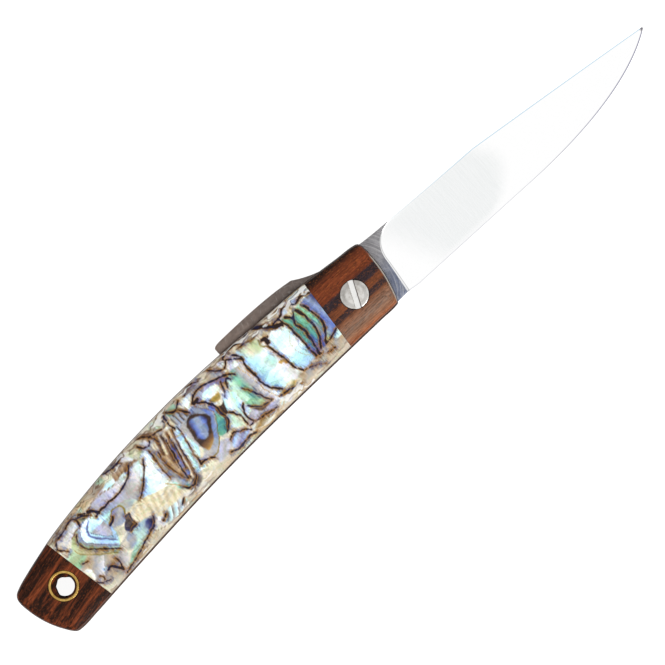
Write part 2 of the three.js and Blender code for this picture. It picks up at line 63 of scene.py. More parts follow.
WELD = 1e-4  # millimetres, within which two vertices are one
LEVEL = 2e-3  # millimetres, within which a vertex lies in a plane
OVERCUT = 1.0  # millimetres, by which a cutter stands out of the body that it cuts
CLEAR_SHARE = 0.997  # of an inset, below which a moved point is too near to another stretch
SHARP_ANGLE = 32.0  # degrees, past which an edge isn't shaded smooth
CORNER_TURN = 30.0  # degrees, past which a line has a corner
SLOT_ANGLE = 62.9  # degrees, from +X to the slot in the screw's head
ROUND_STEPS = 96

Points = np.ndarray
Pair = tuple[float, float]
Triple = tuple[float, float, float]
Mesh = bmesh.types.BMesh
Material = bpy.types.Material
Tree = bpy.types.NodeTree


class Side(Enum):
    """The two sides of the handle."""

    FRONT = "front"
    REAR = "rear"


def node_box(node: str) -> tuple[Points, Points]:
    """Gives a CAD node's lowest and highest corners in millimetres."""
    low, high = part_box(node)
    return np.array(low) / MM, np.array(high) / MM


def node_loops(node: str, height: float) -> list[Points]:
    """Reads the rims of a CAD node's flat face.

    Args:
        node: The CAD node's name.
        height: The flat face's height in millimetres.

    Returns:
        Each rim as points of x and y, anticlockwise, the longest rim first.
    """
    mesh = bmesh.new()
    mesh.from_mesh(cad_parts[node].data)
    bmesh.ops.scale(mesh, vec=Vector((1, 1, 1)) / MM, verts=mesh.verts)
    bmesh.ops.remove_doubles(mesh, verts=mesh.verts, dist=WELD)
    flat = {face for face in mesh.faces if all(abs(v.co.z - height) < LEVEL for v in face.verts)}
    rims = {edge for edge in mesh.edges if sum(face in flat for face in edge.link_faces) == 1}
    loops = []
    while rims:
        edge = rims.pop()
        start, vert = edge.verts
        loop = [vert.co.xy]
        while vert is not start:
            edge = next(edge for edge in vert.link_edges if edge in rims)
            rims.discard(edge)
            vert = edge.other_vert(vert)
            loop.append(vert.co.xy)
        loops.append(np.array(loop))
    mesh.free()
    anticlockwise = [loop if area(loop) > 0 else loop[::-1] for loop in loops]
    return sorted(anticlockwise, key=lambda loop: -np.ptp(loop[:, 0]))


def area(loop: Points) -> float:
    """Gives a closed outline's area, which is positive if the outline runs anticlockwise."""
    after = np.roll(loop, -1, axis=0)
    return float((loop[:, 0] * after[:, 1] - loop[:, 1] * after[:, 0]).sum() / 2)


def bezier(corners: Sequence[Pair], count: int = 120) -> Points:
    """Gives a number of points on the Bezier curve with these control points."""
    places = np.array(corners, float)
    share = np.linspace(0, 1, count)[:, None]
    degree = len(places) - 1
    terms = (math.comb(degree, k) * (1 - share) ** (degree - k) * share**k for k in range(degree + 1))
    return sum(term * place for term, place in zip(terms, places))


def along(path: Points, shares: Points) -> Points:
    """Finds the points that lie at shares of an open line's length, from 0 at its start to 1 at its end."""
    steps = np.linalg.norm(np.diff(path, axis=0), axis=1)
    place = np.concatenate([[0], np.cumsum(steps)]) / steps.sum()
    return np.stack([np.interp(shares, place, path[:, k]) for k in range(path.shape[1])], axis=1)


def even_steps(points: Points, spacing: float) -> Points:
    """Counts the steps that each stretch of a closed line needs for points about one spacing apart."""
    lengths = np.linalg.norm(np.roll(points, -1, axis=0) - points, axis=1)
    return np.maximum(1, np.round(lengths / spacing)).astype(int)


def smooth_loop(points: Points, steps: Points, sharp_turn: float = CORNER_TURN) -> Points:
    """Runs a smooth closed line through points and keeps its sharp corners.

    Args:
        points: The points that the line goes through.
        steps: How many steps each stretch between two of them is cut into.
        sharp_turn: The turn in degrees past which a point is a sharp corner.

    Returns:
        The line's points.
    """
    chords = np.roll(points, -1, axis=0) - points
    lengths = np.linalg.norm(chords, axis=1)[:, None]
    slopes = chords / lengths
    before, length_before = np.roll(slopes, 1, axis=0), np.roll(lengths, 1, axis=0)
    blend = (before * lengths + slopes * length_before) / (lengths + length_before)
    turn = np.degrees(np.arccos(np.clip((before * slopes).sum(axis=1), -1, 1)))
    sharp = (turn > sharp_turn)[:, None]
    held = np.where(sharp, slopes, blend)
    held_before = np.where(sharp, before, blend)
    leave = np.where(sharp, 1.5 * slopes - 0.5 * np.roll(held_before, -1, axis=0), blend)
    arrive = np.where(sharp, 1.5 * before - 0.5 * np.roll(held, 1, axis=0), blend)
    line = []
    for i, count in enumerate(steps):
        after = (i + 1) % len(points)
        t = np.arange(count)[:, None] / count
        line.append(
            (2 * t**3 - 3 * t**2 + 1) * points[i]
            + (t**3 - 2 * t**2 + t) * leave[i] * lengths[i]
            + (3 * t**2 - 2 * t**3) * points[after]
            + (t**3 - t**2) * arrive[after] * lengths[i]
        )
    return np.concatenate(line)


def smooth_open(points: Points, spacing: float = 0.2, sharp_turn: float = CORNER_TURN) -> Points:
    """Runs a smooth line through points that don't close on each other."""
    steps = even_steps(points, spacing)
    steps[-1] = 1
    return np.vstack([smooth_loop(points, steps, sharp_turn)[:-1], points[-1:]])


def inset_ring(ring: Points, inset: float) -> Points:
    """Moves a closed outline inwards and keeps its points in step.

    Args:
        ring: The outline, anticlockwise.
        inset: How far to move it.

    Returns:
        The moved points. Those that would come too near to another stretch lie on the mitre instead.
    """
    if inset == 0:
        return ring
    tangent = np.roll(ring, -1, axis=0) - np.roll(ring, 1, axis=0)
    tangent /= np.linalg.norm(tangent, axis=1)[:, None]
    moved = ring + inset * np.stack([-tangent[:, 1], tangent[:, 0]], axis=1)
    gap = np.linalg.norm(moved[:, None] - ring[None], axis=2).min(axis=1)
    places = np.arange(len(ring))
    clear = places[gap > inset * CLEAR_SHARE]
    return np.stack([np.interp(places, clear, moved[clear, k], period=len(ring)) for k in (0, 1)], axis=1)


def raised(ring: Points, height: float) -> Points:
    """Gives points of x and y a height."""
    return np.column_stack([ring, np.full(len(ring), height)])


def shell_of(rings: Sequence[Points]) -> Mesh:
    """Makes a closed body with flat caps through rings of equal count, given as points of x, y and z."""
    mesh = bmesh.new()
    circle = bmesh.ops.create_circle(mesh, cap_ends=True, radius=1, segments=len(rings[0]))
    verts = circle["verts"]
    for vert, place in zip(verts, rings[0]):
        vert.co = place
    edges = list(mesh.edges)
    for ring in rings[1:]:
        made = bmesh.ops.extrude_edge_only(mesh, edges=edges)["geom"]
        fresh = set(only(bmesh.types.BMVert, made))
        verts = [next(e.other_vert(v) for e in v.link_edges if e.other_vert(v) in fresh) for v in verts]
        for vert, place in zip(verts, ring):
            vert.co = place
        edges = [e for e in only(bmesh.types.BMEdge, made) if all(v in fresh for v in e.verts)]
    bmesh.ops.edgeloop_fill(mesh, edges=edges)
    return tidy(mesh)


def only(kind: type, made: Iterable[object]) -> list:
    """Picks one kind of element out of what an operator made."""
    return [item for item in made if isinstance(item, kind)]


def tidy(mesh: Mesh) -> Mesh:
    """Merges a mesh's doubles, turns its faces outwards and gives it back."""
    bmesh.ops.remove_doubles(mesh, verts=mesh.verts, dist=WELD)
    bmesh.ops.dissolve_degenerate(mesh, edges=mesh.edges, dist=WELD)
    bmesh.ops.recalc_face_normals(mesh, faces=mesh.faces)
    return mesh


def everything(mesh: Mesh) -> list[bmesh.types.BMVert | bmesh.types.BMEdge | bmesh.types.BMFace]:
    """Lists a mesh's vertices, edges and faces."""
    return [*mesh.verts, *mesh.edges, *mesh.faces]


def turned(profile: Sequence[Pair], centre: Sequence[float] = (0, 0)) -> Mesh:
    """Turns a profile about an upright axis.

    Args:
        profile: Pairs of radius and height. It starts and ends on the axis, or closes on itself.
        centre: Where the axis stands.

    Returns:
        The closed body.
    """
    mesh = bmesh.new()
    verts = draw(mesh, [(radius, 0, height) for radius, height in profile])
    if profile[0][0] > 0:
        bmesh.ops.contextual_create(mesh, geom=[verts[0], verts[-1]])
    bmesh.ops.spin(
        mesh, geom=[*mesh.verts, *mesh.edges], cent=(0, 0, 0), axis=(0, 0, 1), dvec=(0, 0, 0),
        angle=2 * math.pi, steps=ROUND_STEPS, use_merge=True, use_normal_flip=False, use_duplicate=False,
    )
    bmesh.ops.translate(mesh, vec=(*centre, 0), verts=mesh.verts)
    return tidy(mesh)


def drill(centre: Sequence[float], radius: float, low: float, high: float) -> Mesh:
    """Makes an upright round body that cuts a hole."""
    return turned([(0, low), (radius, low), (radius, high), (0, high)], centre)


def drills(holes: Sequence[Points], low: float, high: float) -> list[Mesh]:
    """Makes the bodies that cut round holes, given by their rims, through a plate from low to high."""
    made = []
    for hole in holes:
        centre = (hole.max(axis=0) + hole.min(axis=0)) / 2
        radius = float(np.linalg.norm(hole - centre, axis=1).max())
        made.append(drill(centre, radius, low - OVERCUT, high + OVERCUT))
    return made


def draw(mesh: Mesh, places: Iterable[Sequence[float]]) -> list[bmesh.types.BMVert]:
    """Draws an open line of edges through places and gives its vertices in order."""
    first, *others = places
    verts = bmesh.ops.create_vert(mesh, co=first)["vert"]
    for place in others:
        made = bmesh.ops.extrude_vert_indiv(mesh, verts=[verts[-1]])["verts"]
        made[0].co = place
        verts += made
    return verts


def as_object(name: str, mesh: Mesh) -> bpy.types.Object:
    """Puts a mesh into the scene as an object and frees it."""
    data = bpy.data.meshes.new(name)
    mesh.to_mesh(data)
    mesh.free()
    made = bpy.data.objects.new(name, data)
    bpy.context.scene.collection.objects.link(made)
    return made


def cut(mesh: Mesh, *cutters: Mesh) -> Mesh:
    """Cuts closed bodies out of a body.

    Args:
        mesh: The body that is cut, which is used up.
        cutters: The bodies that cut it, which are used up too.

    Returns:
        What is left of the body.
    """
    body = as_object("cut_body", mesh)
    tools = [as_object("cut_tool", cutter) for cutter in cutters]
    for tool in tools:
        boolean = body.modifiers.new("cut", "BOOLEAN")
        boolean.operation = "DIFFERENCE"
        boolean.solver = "EXACT"
        boolean.object = tool
    shape = bpy.data.meshes.new_from_object(body.evaluated_get(bpy.context.evaluated_depsgraph_get()))
    left = bmesh.new()
    left.from_mesh(shape)
    bpy.data.meshes.remove(shape)
    for used in (body, *tools):
        bpy.data.meshes.remove(used.data)
    return left


def break_edges(mesh: Mesh, edges: Sequence[bmesh.types.BMEdge], offset: float) -> None:
    """Rounds edges over by a small offset in millimetres."""
    bmesh.ops.bevel(
        mesh, geom=edges, offset=offset, segments=2, profile=0.5, affect="EDGES", material=-1,
        clamp_overlap=True,
    )


def mirrored(mesh: Mesh, middle: float) -> Mesh:
    """Mirrors a mesh in the level plane at a height, in millimetres, and gives it back."""
    bmesh.ops.scale(mesh, vec=(1, 1, -1), space=Matrix.Translation((0, 0, -middle)), verts=mesh.verts)
    bmesh.ops.reverse_faces(mesh, faces=mesh.faces)
    return mesh


def finish_piece(
    name: str, mesh: Mesh, body: str, finishes: Sequence[Material], nodes: Sequence[str]
) -> bpy.types.Object:
    """Makes a piece of the knife from a mesh in millimetres.

    Args:
        name: The piece's name.
        mesh: Its mesh, which is used up.
        body: The moving body that it rides on.
        finishes: Its materials.
        nodes: The CAD nodes that it stands for.

    Returns:
        The piece.
    """
    bmesh.ops.scale(mesh, vec=(MM, MM, MM), verts=mesh.verts)
    piece = as_object(name, mesh)
    piece.data.shade_smooth()
    piece.data.set_sharp_from_angle(angle=math.radians(SHARP_ANGLE))
    for finish in finishes:
        piece.data.materials.append(finish)
    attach(piece, body)
    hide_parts(*nodes)
    log.info("%s: %d faces", name, len(piece.data.polygons))
    return piece


class Tone(Enum):
    """Colours that the shell shows, as sRGB values from 0 to 255."""

    WHITE = (243, 249, 248)
    ICE = (212, 240, 242)
    CYAN = (178, 224, 232)
    SKY = (166, 196, 240)
    BLUE = (98, 118, 186)
    NAVY = (52, 54, 104)
    SLATE = (140, 152, 180)
    TEAL = (82, 152, 146)
    GREEN = (118, 184, 150)
    MINT = (192, 222, 202)
    MOSS = (180, 192, 146)
    OLIVE = (136, 114, 44)
    GOLD = (190, 148, 78)
    CREAM = (226, 214, 190)
    SAND = (204, 184, 148)
    TAN = (186, 156, 122)
    BROWN = (124, 84, 56)
    UMBER = (58, 40, 34)
    LILAC = (186, 182, 210)
    VIOLET = (128, 128, 182)
    GREY = (168, 162, 160)
    PINK = (218, 210, 212)


@dataclass(frozen=True)
class Flake:
    """A flake of shell in the panel. Its rim is a text of points in millimetres: x y, x y, and so on.

    Its tones follow each other along its heading, in degrees, and start again with each rib.
    """

    tones: str
    rim: str
    heading: float = 0.0
    ribs: int = 1
    soft: float = 0.12


@dataclass(frozen=True)
class Seam:
    """A line between flakes, with its points as text. Without a tone it is a dark gap that shows the glue."""

    path: str
    half_width: float = 0.14
    tone: Tone | None = None


FLAKES = (
    Flake("TAN CREAM TAN", "-81 12, -81 7, -60 8, -44 8.6, -20 8.6, -5 7.5, -5 12", 0, 6, 1),
    Flake("TAN SAND TAN CREAM", "-80 -11, -5 -9, -5 -5, -20 -5.6, -44 -5.6, -60 -6.5, -80 -6.5", 10, 7, 1),
    Flake("TAN BROWN GOLD TAN GOLD TAN BROWN GOLD", "-80 8.5, -72 10.4, -64 10.8, -62.4 9.6, -63.6 7.6, "
          "-68 7.4, -73 7.3, -77 6.7, -80.8 6.6", 0, 1, 0.3),
    Flake("MOSS GREEN MOSS", "-64.6 9.7, -63.2 9.7, -62.8 8.4, -64 8.2", -90, 1, 0.3),
    Flake("GREEN MOSS MINT", "-79.6 2.6, -78 3, -76.8 1, -76.2 -0.4, -77.4 -1.2, -79.2 -0.8", 90, 1, 0.2),
    Flake("GREY TAN GREY PINK", "-79 -1, -76 -0.3, -73.6 -1.8, -71 -4, -69.6 -5.4, -71.6 -7.4, -76 -6.6, "
          "-78.2 -5.4", -40, 2, 0.4),
    Flake("CREAM WHITE", "-79 -1.8, -78 -2, -77.7 -4, -78.6 -5", 0, 1, 0.25),
    Flake("CREAM TAN CREAM", "-78.4 -5.4, -76 -6.9, -74 -6.3, -73 -7.6, -69 -8.2, -77.8 -9.4", 20),
    Flake("SKY CYAN", "-75.8 -4.2, -74.7 -4.3, -74.9 -5.1, -75.8 -5"),
    Flake("CREAM PINK WHITE", "-79.4 5, -78.4 6.3, -76 6.9, -74.4 7.4, -72.9 6.6, -73 5.6, -75 4.8, "
          "-76.6 3.6, -78.4 3.2", 60, 1, 0.3),
    Flake("WHITE TAN", "-79.8 4.4, -79 4.2, -78.6 2.8, -79.4 2.4", -90),
    Flake("ICE MINT", "-72.8 7.7, -70.2 7.9, -70.6 6.9, -72 6.8"),
    Flake("MOSS UMBER", "-73 7, -71.6 6.6, -69.8 5.5, -71.8 5.5", 45, 2),
    Flake("GREY CREAM GREY", "-69.8 -0.2, -67.2 0.4, -66.2 -1.6, -66.8 -3.4, -68.6 -5.4, "
          "-70.8 -4", -60, 1, 0.3),
    Flake("MINT GREY MINT", "-66.4 3.4, -63.4 4.5, -60.6 3.4, -60.2 0.7, -63 0.3, -64.4 1", 0, 1, 0.3),
    Flake("GREY LILAC PINK ICE", "-69.8 6.4, -66 7.3, -62 7.6, -58.6 7, -58.2 6.2, -60.2 5.2, -63.2 4.8, "
          "-66.6 4.9, -68.8 4.7", 10, 1, 0.2),
    Flake("WHITE CYAN WHITE", "-64.8 7.2, -62.6 7.8, -61.2 7, -62.6 6.5", 0, 1, 0.25),
    Flake("CYAN SLATE LILAC GREY PINK ICE", "-69.2 4.6, -66 4.8, -63 4.6, -59.5 5.2, -57.8 6.6, -55 6.9, "
          "-55.8 4.2, -58.5 1.8, -60.4 0.6, -62.4 2.6, -66 3, -69 2.6"),
    Flake("CYAN MINT", "-69.2 3.4, -66.4 3.2, -67.6 1.9, -68.9 1.2, -69.4 2", -90, 1, 0.25),
    Flake("MOSS TAN MOSS", "-75.6 4.7, -77.5 2.6, -76.8 0.8, -74.6 -1.1, -70.9 -4, -69.6 -3.2, -68.8 -1, "
          "-68.7 5.3, -72 5.5", -45),
    Flake("MINT GREEN MINT", "-75 4.6, -76.1 2.7, -75.5 1, -73.5 -0.9, -70.3 -3.6, -69.3 -2.6, "
          "-68.8 5.2", -60),
    Flake("SLATE GREY SLATE", "-74.5 4.6, -75.2 2.8, -74.7 1.3, -72.8 -0.8, -70 -3.1, -69.1 -2, "
          "-68.8 5.2", -60),
    Flake("WHITE ICE SKY CYAN", "-73.4 4.8, -74.5 2.8, -74 1.5, -72.2 -0.4, -69.6 -2.7, -69 -1.6, "
          "-68.6 5.5, -70 5.5", -70),
    Flake("BLUE SLATE", "-72.1 4.4, -73.2 2.7, -72.6 1.3, -71 -0.5, -69.4 -2, -69 -1, -68.8 4.6", -60),
    Flake("ICE CYAN SKY", "-71.2 4.5, -72.7 2.7, -72 1.3, -70.6 -0.2, -69.3 -1.5, -69 -0.6, -69 4.9", -60),
    Flake("SKY ICE WHITE", "-70.9 4.8, -71.9 2.9, -69 2.8, -68.6 5.5", 30),
    Flake("GREY LILAC GREY", "-72.3 2.75, -71.3 1.2, -69.6 -0.8, -68.9 0.2, -68.9 2.7", 0),
    Flake("VIOLET GREY SLATE", "-68.6 1.3, -67.6 2.2, -66.4 2.8, -65 2.9, -64.1 2.2, -64.3 1, -65.2 -0.1, "
          "-66.6 -0.5, -67.6 0.2, -67.5 1.2", -60, 1, 0.2),
    Flake("NAVY UMBER BROWN", "-65 0.1, -63.9 0.1, -64.5 -1.2, -64.2 -2.5, -66.2 -2.7, -66.8 -1.8, "
          "-65.7 -0.4"),
    Flake("GREEN MINT SLATE", "-61 -3.4, -61.8 -4.9, -65 -6, -68 -7, -72 -8, -70.5 -6.8, -68 -5.4, "
          "-66.4 -3.1, -64 -2.7, -62.2 -2.8", 0),
    Flake("SLATE NAVY UMBER", "-63.8 -4, -61.9 -3.2, -60.9 -3.5, -61.6 -4.9, -63.4 -5.4", 0, 1, 0.35),
    Flake("SLATE GREY SLATE", "-67.6 -3.1, -66 -3.2, -66.6 -5, -68.6 -5.4", -90, 1, 0.35),
    Flake("SAND CREAM SAND", "-64 0.4, -60.4 0.8, -57 -0.5, -54.6 -2.2, -52.2 -4.6, -55 -5.4, -60 -4.8, "
          "-62.4 -2.6", -20, 9, 0.3),
    Flake("WHITE CREAM PINK", "-62.4 -5.2, -60 -4.6, -58.6 -5.4, -59.4 -7, -61.8 -6.8", 0, 2),
    Flake("UMBER GREY CYAN WHITE", "-60.2 -5.4, -57.2 -4.8, -54.4 -5.2, -53.2 -6.2, -56 -7, "
          "-59 -7", -35, 5),
    Flake("GREY UMBER GREY", "-53.2 -6, -51.4 -5, -49.8 -3.8, -48.4 -3.7, -47.8 -5, -50.6 -6.1", 20, 2),
    Flake("BROWN TAN", "-61.5 6.7, -61 8.1, -58 9.1, -56.6 8.4, -55 6.6, -57.5 6.7, -59.2 6.8", -15, 7),
    Flake("BROWN UMBER", "-62.8 9.7, -60 9.2, -57.6 9.5, -60.4 9.9", -90, 1, 0.25),
    Flake("WHITE PINK WHITE", "-58.4 9.8, -56.6 10, -54.4 8.2, -55.6 7.4", -45),
    Flake("CREAM MOSS CREAM", "-56.4 9.2, -54.8 9.2, -52.4 6.6, -53.9 6", -45, 2),
    Flake("SKY SKY ICE WHITE WHITE CYAN", "-55.5 5.5, -60.2 0.7, -57 -0.5, -54.6 -1.2, -52.2 -4.3, "
          "-52.9 0, -52.6 3.5, -51.5 7, -54 7"),
    Flake("CYAN GREEN", "-52.9 -1.2, -51.9 -1.9, -51 -4.8, -52.4 -4.2, -53.2 -3", -90, 1, 0.2),
    Flake("WHITE GREY SLATE GREY", "-51.9 6.6, -51.4 3, -51.6 0.6, -50.6 -3.6, -52.3 -4, -52.9 -1, "
          "-52.6 3", 0, 1, 0.2),
    Flake("TAN CREAM BROWN UMBER", "-48 7.2, -45.9 6.4, -46.9 3, -48 -1, -48.6 -3.8, -50.3 -3.4, "
          "-51.4 -0.6, -51.6 2, -51 5.5, -50.2 7.4", -16, 4),
    Flake("TAN TAN BROWN", "-50.9 3.6, -50.2 3.4, -50.1 0, -50.6 -1.8, -51.3 0.5", 0, 1, 0.2),
    Flake("SLATE BLUE UMBER", "-48.5 4, -47.8 4.6, -48.3 1.2, -49.3 -2.8, -50 -2.6, -49.6 0", -10),
    Flake("WHITE ICE CYAN LILAC", "-45.7 6.5, -43.4 6, -43.7 3, -44 0.5, -45.9 -2.4, -46 -4.1, -48.4 -3.8, "
          "-47.9 -1, -46.8 3", -17, 2),
    Flake("GREY TAN GREY", "-50.4 8.2, -48 8, -46.4 8, -45.8 6.2, -48 7, -50.4 7", 0, 2, 0.4),
    Flake("LILAC WHITE", "-53.3 8.5, -51.6 8.6, -51 7.2, -52.6 6.8", -60),
    Flake("BROWN TAN UMBER", "-52.4 9.8, -50.6 9.8, -48.8 7.8, -49.6 6.6, -50.8 8.2", 40, 3),
    Flake("MOSS GREY MINT", "-49.4 9.8, -46.2 9.8, -45.8 8.4, -48 8", 0, 2),
    Flake("WHITE CREAM", "-47.4 8.2, -45.7 8.7, -45.2 7.2, -46.6 6.9", 0, 1, 0.3),
    Flake("PINK GREY SLATE GREY", "-44.4 -1.8, -46.2 -2.3, -44.7 -3.2, -42.6 -3.5, -41.2 -2.8, -40.2 -1.6, "
          "-38.1 1.3, -37.4 3, -37.8 5.4, -39 6.4, -42 6.3, -44.2 5.6, -44.4 2", 0, 1, 0.2),
    Flake("SLATE BLUE SLATE", "-39.2 5.6, -38 4.7, -37.5 3.6, -37.7 2.2, -38.5 0.8, -39.6 -0.6, "
          "-40.4 -1.6, -40.8 -1, -39.5 1.4, -38.5 2.7, -38.6 4.2", 150, 1, 0.2),
    Flake("GOLD BROWN UMBER UMBER UMBER UMBER UMBER UMBER", "-42.4 5.4, -40.7 5.5, -39.5 4.6, -38.6 3.6, "
          "-38.5 2.8, -39.3 1.4, -40.7 -0.6, -41.7 -1.5, -43.3 -2, -43.9 -0.4, -43.9 1.3, -43.4 3.2, "
          "-43.2 4.4", 100, 1, 0.16),
    Flake("NAVY BLUE SLATE SLATE BLUE NAVY", "-42.3 4.9, -41.2 4.9, -40.2 4.4, -39.2 3.5, -39.3 2.8, "
          "-40.4 1.3, -41.5 0.2, -42.6 0.3, -43.1 1.2, -42.8 2.7", -10, 1, 0.2),
    Flake("TEAL GREEN TEAL", "-44.6 10, -42 9.9, -41.8 8.4, -43 8, -44.5 8.6", -60, 1, 0.2),
    Flake("UMBER GREY SLATE", "-44.6 8.2, -42 8.4, -40.9 7, -41.6 6, -44.4 6", 0, 4),
    Flake("CREAM WHITE CREAM", "-42 9.2, -39.5 9.4, -37 8, -38.6 7.2, -41 6.4, -41.2 7.4", -30),
    Flake("SLATE LILAC GREY", "-39 9.5, -38 10.3, -36.5 10.3, -35.2 9.5, -37 9.3"),
    Flake("SLATE LILAC VIOLET SLATE", "-38.2 8.1, -35 8.1, -32 7.1, -29.8 6.2, -31.2 5.6, -34 6.7, "
          "-36.5 6.4, -38.4 6.2", -20),
    Flake("TAN GREY CREAM TAN", "-36 9.4, -33 9.2, -30.6 8.2, -29.4 6.6, -31.8 7.4, -35 8.5, "
          "-37.8 8.7", -20, 2),
    Flake("ICE WHITE CREAM", "-37 6.6, -33 6.9, -32.6 5, -33.6 3.4, -35 3, -36.4 3.8, -37.2 5.3", -60),
    Flake("GOLD OLIVE GOLD", "-36.3 5.2, -33.7 5.2, -33.9 4.3, -35 3.8, -36.1 4.4", -90, 1, 0.2),
    Flake("WHITE MINT CREAM", "-36.6 -0.4, -35.4 0.6, -34.2 -0.6, -34 -3.6, -35.6 -2.8, -37 -1.6", 0),
    Flake("UMBER UMBER", "-36.7 3.5, -35 2.9, -33.5 3.6, -34.4 2.1, -35 1.2, -34.3 0, -35.8 0.7, "
          "-36.8 -0.3, -36.4 1.5"),
    Flake("CYAN WHITE MINT", "-34.7 2.4, -32.5 4.5, -31.4 3, -31.2 -0.5, -31.8 -3.9, -34 -3.8, -34.1 -1, "
          "-35 0.9", -20, 2),
    Flake("BLUE BLUE SLATE", "-37 5, -36.3 3.8, -36.4 2.4, -37.2 1.8, -37.3 3, -37.4 4.4", -90),
    Flake("UMBER BROWN", "-36.8 3, -36.1 2.9, -36.3 1.3, -36.2 0, -37.6 -2, -38.6 -2, -36.8 0"),
    Flake("SLATE GREEN TEAL TEAL GREEN", "-36.8 3.1, -36.7 1.5, -36.7 0.3, -37.3 -0.7, -38.3 -1.7, "
          "-39.5 -1.7, -39.8 -0.9, -39 0.2, -38 1.3, -37.4 2.4", -120, 1, 0.16),
    Flake("MINT MINT GREEN GREY PINK WHITE MINT", "-31.6 5.6, -30.2 6, -26.2 7.4, -25.9 4, -26 0.5, "
          "-25.2 -2, -23.9 -3.8, -25 -5, -27 -3.8, -29 -2.4, -31.2 -0.4, -31.4 3"),
    Flake("LILAC WHITE PINK", "-30 9.4, -27.5 9, -25.6 7.8, -26 6.6, -28.6 6.6, -29.8 8", -30, 2),
    Flake("SKY CYAN ICE WHITE PINK WHITE", "-25.8 8.4, -20.2 8.2, -19.9 5.5, -19.6 2, -19.2 -1, "
          "-18.5 -3.7, -21 -4.3, -24 -3.8, -25.4 -1.8, -25.9 1, -25.8 4"),
    Flake("MINT CREAM MOSS CREAM", "-25.2 8.5, -20.3 8.3, -20 5.6, -22.6 5, -24.8 6.4", 0, 1, 0.8),
    Flake("MINT CYAN", "-22.6 3, -20.8 3.6, -20.8 1.4, -22 1", 0, 1, 0.7),
    Flake("UMBER BROWN", "-19.8 9.8, -18.4 9.5, -16.2 7, -14.6 6, -16.8 6.1, -18.2 7.8", -45, 1, 0.2),
    Flake("TAN CREAM GREY", "-20.3 9.2, -18.6 7.8, -17.2 6.2, -18 6, -20 7.6", -45, 2),
    Flake("CREAM TAN WHITE", "-17.6 9.6, -14 9.4, -13.4 8.4, -14.6 6.4, -16.2 7.2", -30, 2),
    Flake("WHITE ICE WHITE CYAN SKY", "-19.6 5.4, -18.6 6.2, -16 6.1, -14.5 6, -14.3 2, -14.3 -1, "
          "-14.2 -3.7, -16.5 -3.8, -18.1 -3.6, -19 -1.5, -19.5 1", -90),
    Flake("SKY ICE", "-19.5 5.4, -18.4 5.2, -18.8 3, -19.3 1", 0, 1, 0.4),
    Flake("NAVY BLUE TEAL GREEN GREEN", "-14.6 6.8, -13.2 6.6, -12.4 5.3, -12.8 4, -12.4 2, -12.7 0.4, "
          "-13 -1.6, -13.7 -3.9, -14.3 -3.7, -14.4 0, -14.3 4.6", 8),
    Flake("NAVY BLUE TEAL GREEN MOSS", "-12.7 5.4, -10.6 6.8, -10.3 4.5, -10.4 1.5, -10.8 -0.7, "
          "-12.6 -3.1, -13.5 -3.8, -12.9 -1, -12.6 0.5, -12.4 2, -12.9 4", 20),
    Flake("NAVY BLUE SLATE GREEN MINT", "-10.8 6.6, -9.2 6.6, -8.7 4, -8.5 2.5, -8.5 0.5, -9.6 -1.3, "
          "-11.2 -3.3, -12.6 -3.2, -10.8 -0.6, -10.4 1.5, -10.4 4.5", 20),
    Flake("GREEN MOSS SLATE BLUE SLATE NAVY", "-9.2 6.4, -6.4 6.8, -6 5, -6.9 0, -7.4 -2.3, -9.4 -3, "
          "-11 -3, -9.6 -1.2, -8.5 0.5, -8.6 2.5, -8.8 4", 10),
    Flake("WHITE ICE WHITE", "-10.6 9.2, -6 8.8, -6 6.8, -8.4 6.7, -10.2 7.2", -30, 3),
    Flake("ICE LILAC WHITE", "-14 8.9, -11 8.8, -10.8 7.6, -12.4 6.8, -13.8 7", -30, 2),
    Flake("OLIVE GOLD", "-12.2 7.7, -11 7.7, -11.2 6.7, -12.2 6.8", -90),
    Flake("GREY TAN GREY", "-20 -3.8, -14 -3.6, -7.4 -3, -7.4 -5.6, -14 -6, -19.8 -5.8", -50, 4, 0.3),
    Flake("MINT ICE", "-9.2 -3.2, -7.4 -2.6, -7.4 -3.8, -8.4 -4", -60),
    Flake("GOLD CREAM OLIVE", "-24.5 -4, -21 -3.7, -20 -5, -20.8 -6.2, -23.6 -5.6", -60, 2, 0.3),
    Flake("ICE PINK GREY", "-26.4 -5.6, -24.4 -5, -22.6 -5.7, -24.6 -6.4"),
    Flake("GREY LILAC GREY", "-31.4 -2.4, -29.5 -3.4, -27.3 -3.9, -25.6 -4.7, -27.5 -5.5, -31 -4.9, "
          "-34.6 -4.1", -60, 2),
    Flake("UMBER BROWN", "-31 -2.1, -29 -3, -27.1 -3.6, -28.6 -4, -30.4 -3.4", -90, 1, 0.2),
    Flake("GREEN MOSS", "-31.4 -0.3, -29.8 -0.6, -28 -3.1, -29.8 -2.9", -60, 1, 0.2),
    Flake("CREAM WHITE GOLD CREAM", "-34 -5, -29 -5.4, -26 -6.6, -33 -6.8, -39 -7", -60, 2),
    Flake("LILAC VIOLET SKY LILAC", "-39.8 -4, -37.6 -3.1, -35.4 -3.9, -34.6 -5, -36.8 -5.8, "
          "-39.2 -5.4", -60, 2),
    Flake("UMBER SLATE", "-38.5 -3.5, -36.8 -2.7, -36.4 -3.4, -37.6 -3.8", -60),
    Flake("GREY LILAC GREY", "-42.8 -3.9, -40.6 -2.2, -39.2 -2.6, -38.6 -3.6, -40.2 -5.2, "
          "-43.6 -5.4", -40, 2, 0.3),
)

